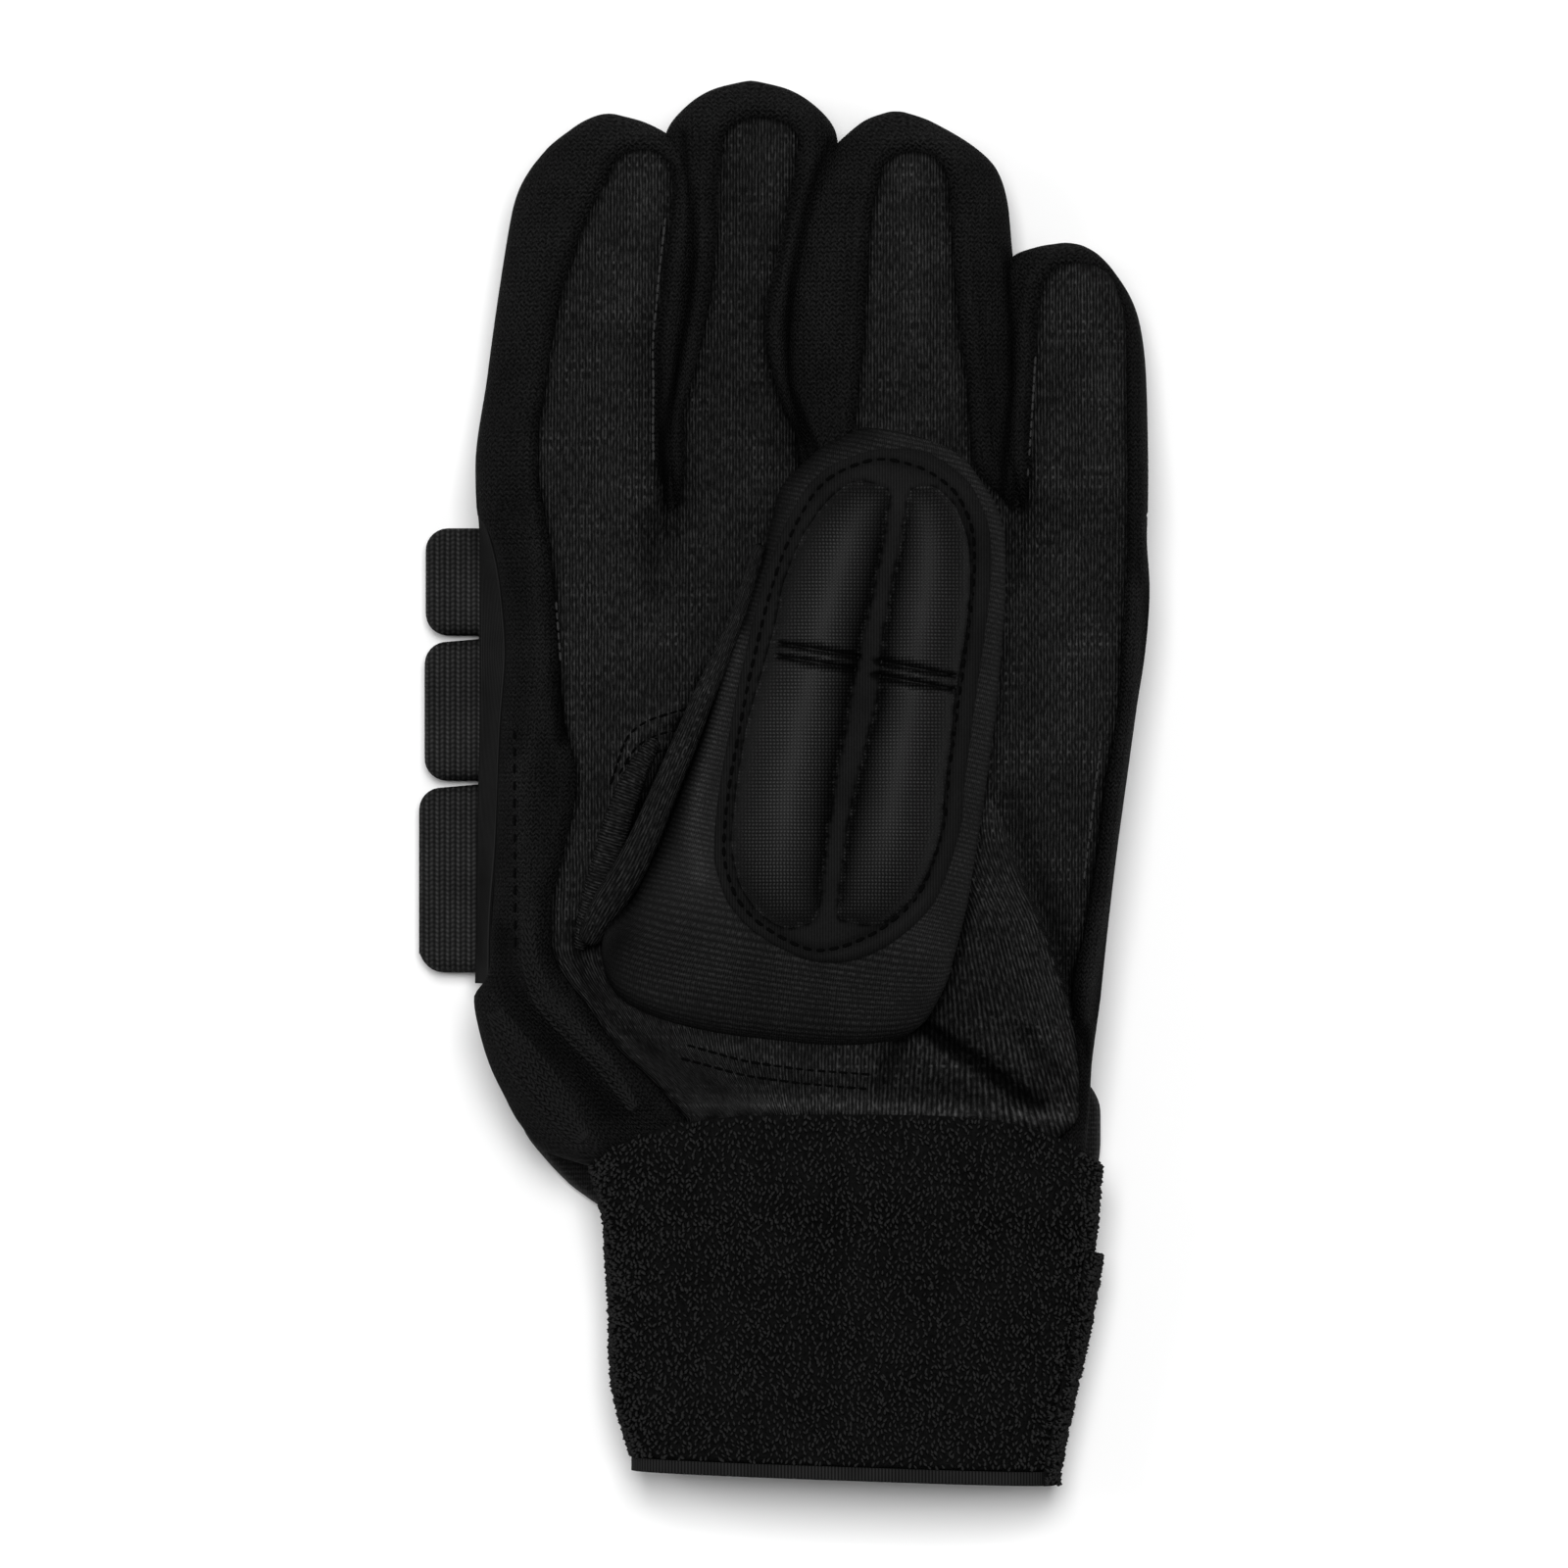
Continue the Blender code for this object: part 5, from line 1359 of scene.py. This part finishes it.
def pad_top(x, y):
    """The pad's height: flange, cells, grooves, the pull of its seam and a rounded edge."""
    high = thumb_top(x, y) + 0.25 + FLANGE_THICKNESS
    high += CELL_HEIGHT * on_grid(PUFFED, x, y)
    high -= GROOVE_DEPTH * groove_share(x, y)
    high -= 0.8 * bell(off(x, y, PAD_STITCH_LINE, closed=True), 0.9)
    _, edge = from_line(x, y, PAD_EDGE, closed=True)
    return high - 1.1 * (1 - np.clip(edge / 1.6, 0, 1)) ** 2


def pad_dark(x, y):
    """Painted shade of the pad: on the sloping sides of its cells, in its grooves, and between its
    cells and its seam.
    """
    near, within = np.full(np.size(x), 99.0), np.zeros(np.size(x), bool)
    for line in cell_lines:
        away, side = from_line(x, y, line, closed=True)
        near, within = np.minimum(near, away), within | (side > 0)
    # painted shade that darkens each cell towards its outline, where its dome falls away from the
    # light
    rounded = 0.6 * (1 - on_grid(PUFFED, x, y) ** 2.2) + 0.3 * bell(near, 2.4)
    shade = np.where(within, rounded, 0.3 * bell(near, 0.5))
    seam = 0.3 * bell(off(x, y, PAD_STITCH_LINE, closed=True), 0.7)
    return np.clip(shade + seam + 0.75 * groove_share(x, y), 0, 0.88)


# %% [markdown]
# ## Cloth of the pad
#
# One sheet makes the whole pad. Its triangles follow the cells and the grooves, and only the
# cells have the open weave.

# %% Cloth of the pad
# the mesh follows each groove's bottom and its rim, so that both stay sharp
groove_loops = []
for start, end in np.array(PAD_GROOVES):
    ahead = (end - start) / np.linalg.norm(end - start)
    aside = np.array([-ahead[1], ahead[0]])
    for reach in (0.25, 0.6):
        low, high = start - ahead * reach, end + ahead * reach
        step = aside * reach
        groove_loops.append([low - step, high - step, high + step, low + step])
pad = sheet(
    "thumb_pad_cloth",
    PAD_EDGE,
    pad_top,
    lambda x, y: thumb_top(x, y) + 0.1,
    0.7 * COARSE,
    pad_weave,
    ["thumb_pad"],
    cell_lines + groove_loops,
    dark=pad_dark,
)
pad.data.materials.append(flat_weave)
# the flat parts are a plainer cloth than the cells
middles = np.array([tuple(face.center) for face in pad.data.polygons])[:, :2] / MM + (0, MIDDLE_UP)
outside_cells = ~np.any([inside(middles, line) for line in cell_lines], axis=0)
pad.data.polygons.foreach_set("material_index", outside_cells.astype(int))

# %% [markdown]
# ## Back guard and wrist guard
#
# A slab of foam faced with knit lies under the hand, and three lobes of it stick out past the
# index finger's side. A thin band of lined cloth joins the lobes to the hand, and its edge
# stands up as a bright line. A smaller guard lies under the wrist.

# %% Guards
# bottom and top as shares of the palm's length, and reach share
LOBES = [(0.239, 0.551, 1.10), (0.562, 0.790, 1.00), (0.800, 0.976, 0.98)]
GUARD_LEFT, GUARD_RIGHT, LOBE_REACH, LOBE_CORNER = -54.8, 50.0, 10.0, 4.0


def guard_outline():
    """The slab's outline, with three lobes that have rounded corners."""
    low, high = LOBES[0][0] * PALM_LENGTH, LOBES[-1][1] * PALM_LENGTH
    parts = [(GUARD_RIGHT, low), (GUARD_RIGHT, high)]
    for bottom, top, reach in reversed(LOBES):
        left = GUARD_LEFT - LOBE_REACH * reach
        y0, y1 = bottom * PALM_LENGTH, top * PALM_LENGTH
        for start, y in ((90, y1 - LOBE_CORNER), (180, y0 + LOBE_CORNER)):
            a = np.radians(np.linspace(start, start + 90, 9))
            parts += list(zip(left + LOBE_CORNER * (1 + np.cos(a)), y + LOBE_CORNER * np.sin(a)))
        if bottom > LOBES[0][0]:
            parts += [(GUARD_LEFT, y0), (GUARD_LEFT, y0 - 0.6)]
    lines = np.array(parts)
    slope = np.clip(GUARD_LEFT - lines[:, 0], 0, None) * (lines[:, 1] < low + LOBE_CORNER)
    lines[:, 1] += 0.14 * slope
    return even_line(lines, 0.9 * COARSE, closed=True)


def foam(name, outline, thickness, spacing, material, replaces):
    """A foam pad with a rounded upper edge and a small chamfer below."""

    def near(x, y):
        return np.clip(off(x, y, outline, closed=True) / 2.5, 0, 1)

    def top(x, y):
        return thickness * (0.5 + 0.5 * (1 - (1 - near(x, y)) ** 2.2) ** 0.6)

    def bottom(x, y):
        return 1.6 * (1 - near(x, y))

    item = sheet(name, outline, top, bottom, spacing, material, replaces)
    return item


FOAM_SPACING, EDGE_SPACING = 1.1 * COARSE, 0.9 * COARSE
foam(
    "guard_foam",
    guard_outline(),
    GUARD_THICKNESS,
    FOAM_SPACING,
    guard_knit,
    ["back_guard"],
)

# shares of half its width and half its length, anticlockwise
WRIST_GUARD = [
    (-0.62, -1.0), (0.85, -0.85), (0.98, -0.62), (1.0, 0.0), (1.0, 0.68), (0.96, 1.0),
    (-0.84, 1.0), (-0.98, 0.7), (-0.99, 0.32), (-0.96, 0.11), (-0.89, -0.25), (-0.82, -0.56),
    (-0.71, -0.9),
]
wrist_outline = np.array(WRIST_GUARD) * (52.5, 12.0) + (4.6, -4.5)
foam(
    "wrist_foam",
    even_line(wrist_outline, EDGE_SPACING, True, soften=1.2),
    5.0,
    FOAM_SPACING,
    stretch_weave,
    ["wrist_guard"],
)

# %% [markdown]
# ## Band between the lobes and the hand
#
# A thin band of lined cloth closes the gap between the lobes and the knit. It climbs from the
# foam to the hand, ripples a little, and its upper edge is bound with a thin roll.

# %% Band
# Y, left edge and right edge
BAND_ROWS = [
    (24.7, -55.6, -53.0), (29.9, -55.5, -53.0), (38.8, -55.3, -52.8), (47.8, -55.3, -52.0),
    (61.8, -55.0, -51.4), (70.7, -54.8, -51.1), (79.6, -54.8, -50.4), (85.0, -54.8, -50.0),
    (90.3, -54.8, -50.4), (99.2, -54.8, -51.3), (105.5, -54.8, -52.8), (111.3, -55.2, -54.6),
]
y = np.linspace(25.4, 110.5, 120 // COARSE)
left, right = smooth(BAND_ROWS, y).T
share = np.linspace(0, 1, 14)[None, :]
x = left[:, None] + (right - left)[:, None] * share
z = 8.4 + 8.6 * share**1.4 + 0.15 * np.sin(y / 2.3)[:, None] * share
outer = np.stack([x, np.broadcast_to(y[:, None], x.shape), z], 2)
inner = outer + (0.9, 0, -0.6)
shell("guard_band", outer, inner, (share * 9, y[:, None]), False, tape, "binding", ["guard_hem"])
edge_line = np.stack([right + 0.1, y, np.full(len(y), 17.0), np.ones(len(y))], 1)
roll("guard_edge", edge_line, 0.35, tape, "binding")

# %% [markdown]
# ## Cuff
#
# The wristband is a tube of terry: a ground cloth covered in small loops of yarn. Here the
# ground is plain and a cell below sets the loops on it. A smooth hem closes the end, and the
# end of the strap, a second layer, shows as a step on the right.

# %% Cuff
CUFF_SIDE, HALF_CUFF, CUFF_DEPTH, CUFF_LENGTH = 12.5, 45.0, 24.0, 53.6
CUFF_TOP, CUFF_ARCH, CUFF_FLOOR, CUFF_SKEW = -7.0, 9.3, 5.5, 3.1
CUFF_ROUND, CUFF_WALL = (2.8, 3.2), 3.0
# down from its top as a share of its length, left, right, floor and top shares
CUFF_SECTIONS = [
    (0.0, -1.056, 0.987, 1.0, 1.0), (0.18, -0.998, 0.968, 1.0, 0.99),
    (0.29, -0.989, 0.955, 0.62, 0.97), (0.54, -0.973, 0.905, 0.5, 0.94),
    (0.67, -0.97, 0.87, 0.5, 0.93), (0.8, -0.954, 0.835, 0.5, 0.92),
    (1.0, -0.889, 0.785, 0.5, 0.9),
]


def cuff_grid(downs, out, columns, start=-90, sweep=360):
    """Grid around the cuff, out from its outer face, and its cloth across."""
    grid, across = [], []
    for down in downs:
        left, right, floor, top = smooth(CUFF_SECTIONS, min(down, 1))[0]
        half_width = HALF_CUFF * (right - left) / 2 + out
        half_height = CUFF_DEPTH * top / 2 + out
        x, z, u = section(half_width, half_height, CUFF_ROUND, columns, start, sweep)
        front = np.clip(z / half_height, 0, 1) * (1 - (x / half_width) ** 4).clip(0)
        x = x + CUFF_SIDE + HALF_CUFF * (left + right) / 2
        rise = CUFF_ARCH * front**0.6 * max(1 - down, 0) ** 3
        skew = CUFF_SKEW * down * (x - CUFF_SIDE) / (2 * HALF_CUFF)
        y = CUFF_TOP - CUFF_LENGTH * down + rise - skew
        grid.append(np.stack([x, y, z + CUFF_FLOOR * floor + CUFF_DEPTH * top / 2], 1))
        across.append(u)
    return np.array(grid), np.array(across)


def cuff_part(name, downs, outs, grids, columns, closed, material, slot, node):
    """One layer around the cuff, with an outer face and an inner face."""
    faces = [grid(downs, out, columns) for grid, out in zip(grids, outs)]
    (outer, across), (inner, _) = faces
    cloth = (across, downs[:, None] * CUFF_LENGTH)
    shell(name, outer, inner, cloth, closed, material, slot, [node])


# degrees around the cuff: where the strap starts, and how far it goes
STRAP_AROUND = (-150, 170)


def strap_grid(downs, out, columns):
    """The strap's face from below the cuff to its right side, where it gets thinner."""
    face, across = cuff_grid(downs, out, columns, *STRAP_AROUND)
    thin, _ = cuff_grid(downs, min(out, 0.5), columns, *STRAP_AROUND)
    share = step_up((np.linspace(0, 1, columns) - 0.84) / 0.16)[None, :, None]
    return face * (1 - share) + thin * share, across


def strap_back(downs, out, columns):
    return cuff_grid(downs, out, columns, *STRAP_AROUND)


band, hem = np.linspace(0, 1, 60 // COARSE), np.linspace(1.005, 1.05, 6)
strap = np.linspace(0.29, 1.05, 50 // COARSE)
ROUND, LONG = [cuff_grid, cuff_grid], 220 // COARSE
outs = (-0.6, -CUFF_WALL)
cuff_part("cuff_ground", band, outs, ROUND, LONG, True, terry_ground, "terry", "cuff_band")
cuff_part("cuff_edge", hem, (-0.1, -2.4), ROUND, LONG, True, tape, "binding", "cuff_hem")
grids = [strap_grid, strap_back]
outs = (1.7, 0.3)
cuff_part(
    "strap_end", strap, outs, grids, 100 // COARSE, False, terry_ground, "terry", "cuff_strap"
)

# %% [markdown]
# ## Repeated loops and stitches
#
# Two node trees place small meshes. One spreads terry loops over a surface, no nearer than a
# spacing. Each loop stands on the cloth, lies lengthways along the hand as the loom made it,
# and then leans and turns by a bit of chance, from a fixed seed. The other tree sets stitches
# one after another along a line. Both end by making the instances real and giving them their
# material.


# %% Node trees for loops and stitches
def new_tree(name, sockets):
    """A geometry tree with named inputs, its input node and its output node."""
    tree = bpy.data.node_groups.new(name, "GeometryNodeTree")
    tree.interface.new_socket("Geometry", in_out="OUTPUT", socket_type="NodeSocketGeometry")
    tree.interface.new_socket("Geometry", in_out="INPUT", socket_type="NodeSocketGeometry")
    for label, kind in sockets.items():
        tree.interface.new_socket(label, in_out="INPUT", socket_type="NodeSocket" + kind)
    return tree, add(tree, "NodeGroupInput").node.outputs


def random_size(tree, seed, low, high):
    inputs = {2: low, 3: high, "Seed": seed}
    return add(tree, "FunctionNodeRandomValue", inputs=inputs, out=1, data_type="FLOAT")


def place_items(tree, given, places, rotation, size):
    """The given item on each of the places."""
    item = add(tree, "GeometryNodeObjectInfo", inputs={"Object": given["Item"]}, out="Geometry")
    inputs = {"Points": places, "Instance": item, "Rotation": rotation, "Scale": size}
    return add(tree, "GeometryNodeInstanceOnPoints", inputs=inputs)


def finish_tree(tree, instances, material):
    real = add(tree, "GeometryNodeRealizeInstances", instances)
    dressed = add(tree, "GeometryNodeSetMaterial", inputs={"Geometry": real, "Material": material})
    smooth_faces = add(tree, "GeometryNodeSetShadeSmooth", inputs={"Geometry": dressed})
    add(tree, "NodeGroupOutput", smooth_faces)
    return tree


COMMON = {"Item": "Object", "Spacing": "Float", "Seed": "Int", "Material": "Material"}
scatter, given = new_tree("Scatter loops", COMMON)
spread = {
    "Mesh": given["Geometry"],
    "Distance Min": given["Spacing"],
    "Density Max": 2.5e6,
    "Seed": given["Seed"],
}
kind = "GeometryNodeDistributePointsOnFaces"
points = add(scatter, kind, inputs=spread, distribute_method="POISSON").node.outputs
inputs = {1: (1.0, 1.0, 1.0), "Seed": given["Seed"]}
chance = add(scatter, "FunctionNodeRandomValue", inputs=inputs, data_type="FLOAT_VECTOR")
size = random_size(scatter, given["Seed"], 0.8, 1.25)
kind, inputs = "FunctionNodeAlignRotationToVector", {"Vector": points["Normal"]}
upright = add(scatter, kind, inputs=inputs, axis="Z")
inputs = {"Rotation": upright, "Vector": (0, 1, 0)}
lengthways = add(scatter, kind, inputs=inputs, axis="X", pivot_axis="Z")
placed = place_items(scatter, given, points["Points"], lengthways, size)
# chance times the most that a loop turns about each axis, less half of that, in radians
most = (0.9, 0.9, 1.7)
half = tuple(-turn / 2 for turn in most)
spin = add(scatter, "ShaderNodeVectorMath", chance, most, half, operation="MULTIPLY_ADD")
inputs = {"Instances": placed, "Rotation": spin}
finish_tree(scatter, add(scatter, "GeometryNodeRotateInstances", inputs=inputs), given["Material"])

along, given = new_tree("Stitches along a line", COMMON)
line = add(along, "GeometryNodeMeshToCurve", inputs={"Mesh": given["Geometry"]})
inputs = {"Curve": line, "Length": given["Spacing"]}
dots = add(along, "GeometryNodeCurveToPoints", inputs=inputs, mode="LENGTH").node.outputs
size = random_size(along, given["Seed"], 0.85, 1.1)
placed = place_items(along, given, dots["Points"], dots["Rotation"], size)
finish_tree(along, placed, given["Material"])

# %% [markdown]
# ## What is repeated
#
# A terry loop, a chain link, a needle hole and a stitch are each one small tube.

# %% Small tubes
def small_tube(name, path, radius, sides):
    """A small tube along a short path in millimetres, thinner at its ends, to be repeated."""
    path = np.asarray(path, float)
    ahead = unit(np.gradient(path, axis=0))
    side = unit(np.cross(ahead, (0.0, 1.0, 0.02)))
    up = np.cross(side, ahead)
    turn = np.linspace(0, 2 * math.pi, sides, endpoint=False)
    size = radius * np.array([0.55, *[1.0] * (len(path) - 2), 0.55])
    ring = side[:, None] * np.cos(turn)[None, :, None] + up[:, None] * np.sin(turn)[None, :, None]
    points = (path[:, None] + ring * size[:, None, None]).reshape(-1, 3) * MM
    faces = []
    for r in range(len(path) - 1):
        for c in range(sides):
            low, high = r * sides, (r + 1) * sides
            after = (c + 1) % sides
            faces.append((low + c, low + after, high + after, high + c))
    faces += [tuple(range(sides))[::-1], tuple(range((len(path) - 1) * sides, len(path) * sides))]
    mesh = bpy.data.meshes.new(name)
    mesh.from_pydata(points.tolist(), [], faces)
    mesh.uv_layers.new(name="cloth")
    item = put(name, mesh)
    item.hide_render = item.hide_viewport = True
    return item


def repeated(name, base, tree, item, spacing, seed, material):
    """The result of a tree over a base mesh, as a piece of its own."""
    holder = put(name, base)
    modifier = holder.modifiers.new("repeat", "NODES")
    modifier.node_group = tree
    values = {"Item": item, "Spacing": spacing * MM, "Seed": seed, "Material": material}
    for socket in tree.interface.items_tree:
        if socket.in_out == "INPUT" and socket.name in values:
            modifier[socket.identifier] = values[socket.name]
    graph = bpy.context.evaluated_depsgraph_get()
    made = bpy.data.meshes.new_from_object(holder.evaluated_get(graph))
    holder.modifiers.clear()
    holder.data = made
    return ride(holder)


# a terry loop is an arch of yarn, and a chain link is an arch that is open at its end
arch = [(-0.22, 0, -0.1), (-0.26, 0, 0.45), (0.03, 0.05, 0.72), (0.26, 0.04, 0.45), (0.22, 0, -0.1)]
terry_loop = small_tube("terry_loop", arch, 0.28, 3)
vee = [(-0.5, 0, -0.6), (-0.3, 0, 0.2), (0, 0, 0.75), (0.3, 0, 0.2), (0.5, 0, -0.6)]
link = small_tube("link", vee, 0.26, 6)
hole = small_tube("hole", [(0, 0, -0.8), (0, 0, -0.4), (0, 0, 0.4), (0, 0, 0.8)], 0.36, 6)
stitch = small_tube("stitch", [(0, 0, -0.75), (0, 0, -0.45), (0, 0, 0.45), (0, 0, 0.75)], 0.22, 6)

# %% [markdown]
# ## Terry loops
#
# The loops stand all around the band and on the strap. Their ground is a plain grid that is
# only used for placing them.

# %% Terry loops
def outer_faces(grid, keep):
    """Part of a grid as a mesh to spread loops over."""
    rows, columns = grid.shape[:2]
    faces = []
    for r in range(rows - 1):
        for c in range(columns - 1):
            first = r * columns + c
            if keep(grid[r, c]):
                faces.append((first, first + 1, first + columns + 1, first + columns))
    mesh = bpy.data.meshes.new("loop ground")
    mesh.from_pydata(metres(grid.reshape(-1, 3)).tolist(), [], faces)
    return mesh


LOOP_SPACING = 0.68 * 1
ground, _ = cuff_grid(np.linspace(0.004, 0.998, 60), -0.55, 200)
split = CUFF_FLOOR + CUFF_DEPTH / 2 - 2
# the band's loops are made in quarters, as one mesh of them would be too big
terry_sides = {
    "front_left": lambda p: p[2] >= split and p[0] < CUFF_SIDE,
    "front_right": lambda p: p[2] >= split and p[0] >= CUFF_SIDE,
    "back_left": lambda p: p[2] < split and p[0] < CUFF_SIDE,
    "back_right": lambda p: p[2] < split and p[0] >= CUFF_SIDE,
}


def terry(name, ground, seed):
    repeated(name, ground, scatter, terry_loop, LOOP_SPACING, seed, terry_yarn)


for side, keep in terry_sides.items():
    terry("terry_" + side, outer_faces(ground, keep), 7)
ground, _ = strap_grid(np.linspace(0.295, 1.045, 50), 1.75, 90)
terry("terry_strap", outer_faces(ground, lambda p: True), 8)

# %% [markdown]
# ## Stitch lines
#
# Sewing shows as short dashes: needle holes around the pad's flange and on the side of the
# hand, two rows of thread at the thumb's base, three curved rows where the thumb's gusset
# starts, and a glossy thread in a few places along the palm's seam. The gusset beside the wrist
# and its ribbon are knitted in raised ribs, which are chains of small links.


# %% Stitches
def stitches(name, lines, height, spacing, item, material):
    """Stitches along lines on a surface whose height is a function of X and Y."""
    points, edges = [], []
    for line in lines:
        path = even_line(line, 0.6, soften=1.5)
        z = height(*path.T)
        first = len(points)
        points += list(np.column_stack([path, z]))
        edges += [(first + i, first + i + 1) for i in range(len(path) - 1)]
    mesh = bpy.data.meshes.new(name)
    mesh.from_pydata(metres(points).tolist(), edges, [])
    return repeated(name, mesh, along, item, spacing, 3, material)


def above(surface, lift):
    return lambda x, y: surface(x, y) + lift


def on_palm(name, lines, lift, spacing, yarn):
    stitches(name, lines, above(palm_top, lift), spacing, stitch, yarn)


flange_loop = [np.vstack([PAD_STITCH_LINE, PAD_STITCH_LINE[:1]])]
stitches("pad_stitches", flange_loop, above(pad_top, 0.05), 2.4, hole, thread)
base_rows = [
    [(-17.5, 12.2), (-7.0, 9.3), (3.5, 7.9), (14.0, 7.0)],
    [(-16.5, 14.6), (-7.0, 11.9), (3.5, 10.4), (14.5, 9.6)],
]
gusset_rows = [
    [
        (-30.6 + k, 62.0 + k),
        (-28.0 + k, 70.0 - 1.2 * k),
        (-24.5 + k, 72.6 - 1.6 * k),
        (-16.6, 74.9 - 2.2 * k),
    ]
    for k in (0, 1.6, 3.2)
]
on_palm("palm_stitches", base_rows + gusset_rows, 0.1, 1.9, thread)
seam_rows = [
    tongue("index")[2:34] - (1.1, 0.0),
    [(43.6, 117.0), (44.4, 128.0), (45.0, 137.0)],
    [(56.4, 68.0), (55.0, 56.0), (53.6, 45.0)],
    [(-40.6, 93.0), (-39.9, 84.0)],
]
on_palm("seam_stitches", seam_rows, 0.4, 1.7, bright_thread)


def knit_top(x, y):
    return cloth_top(x, y) + knit_relief(x, y) + 0.1


# chain ribs on the gusset's bulge and on its ribbon, spread apart in their middle
chains = []
bulge = [(-51.8, 20.0), (-48.4, 12.0), (-43.2, 5.0), (-36.5, -2.0)]
for base, steps in ((bulge, range(-1, 4)), (RIBBON[1:], (-1, 0, 1))):
    path = even_line(base, 1.0, soften=2.0)
    aside = np.gradient(path, axis=0)[:, ::-1] * (-1, 1)
    spread = 0.5 + 0.9 * np.sin(np.linspace(0, math.pi, len(path)))[:, None]
    chains += [path + aside * spread * step for step in steps]
stitches("knit_chains", chains, knit_top, 1.25, link, knit_yarn)
holes = [[(-47.9, 33.0), (-48.1, 70.0)]]
stitches("side_holes", holes, knit_top, 3.1, hole, thread)

for spare in (terry_loop, stitch, hole, link):
    bpy.data.objects.remove(spare)

# %% [markdown]
# ## Floor, light and camera
#
# The glove lies on a plain white floor. Large soft lights stand around it, and the camera looks
# straight down from far away with a long lens, so that the glove shows no perspective.


# %% Stage
white, shader = new_material("Paper floor", 0.1, 0.9)
shader.inputs["Base Color"].default_value = (*linear("#fdfdfd"), 1)
mesh = bpy.data.meshes.new("floor")
mesh.from_pydata([(-3, -3, 0), (3, -3, 0), (3, 3, 0), (-3, 3, 0)], [], [(0, 1, 2, 3)])
mesh.materials.append(white)
floor = put("floor", mesh)

# place, size in metres, power in watts
LIGHTS = {
    "overhead": ((0.0, 0.45, 1.9), 0.9, 34.0),
    "left": ((-1.3, 0.3, 1.1), 0.7, 5.0),
    "right": ((1.3, -0.1, 1.1), 0.7, 3.0),
    "front": ((0.0, -1.3, 1.1), 0.7, 2.0),
}
for name, (place, width, power) in LIGHTS.items():
    light = bpy.data.lights.new(name, "AREA")
    light.size = width
    light.energy = power
    lamp = put(name, light)
    lamp.location = place
    lamp.rotation_mode = "QUATERNION"
    lamp.rotation_quaternion = (-Vector(place)).to_track_quat("-Z", "Y")
world = bpy.data.worlds.new("studio")
bpy.context.scene.world = world
world.use_nodes = True
world.node_tree.nodes["Background"].inputs["Color"].default_value = (1, 1, 1, 1)
world.node_tree.nodes["Background"].inputs["Strength"].default_value = 0.12

CAMERA_HEIGHT, FRAME_WIDTH, GLOVE_MIDDLE = 2.2, 0.280, 0.025
camera = bpy.data.cameras.new("camera")
camera.sensor_width = 36.0
camera.lens = camera.sensor_width * (CAMERA_HEIGHT - GLOVE_MIDDLE) / FRAME_WIDTH
camera.clip_end = 10.0
viewer = put("camera", camera)
viewer.location = (0, -0.0001, CAMERA_HEIGHT)
bpy.context.scene.camera = viewer
bpy.context.scene.view_settings.view_transform = "Standard"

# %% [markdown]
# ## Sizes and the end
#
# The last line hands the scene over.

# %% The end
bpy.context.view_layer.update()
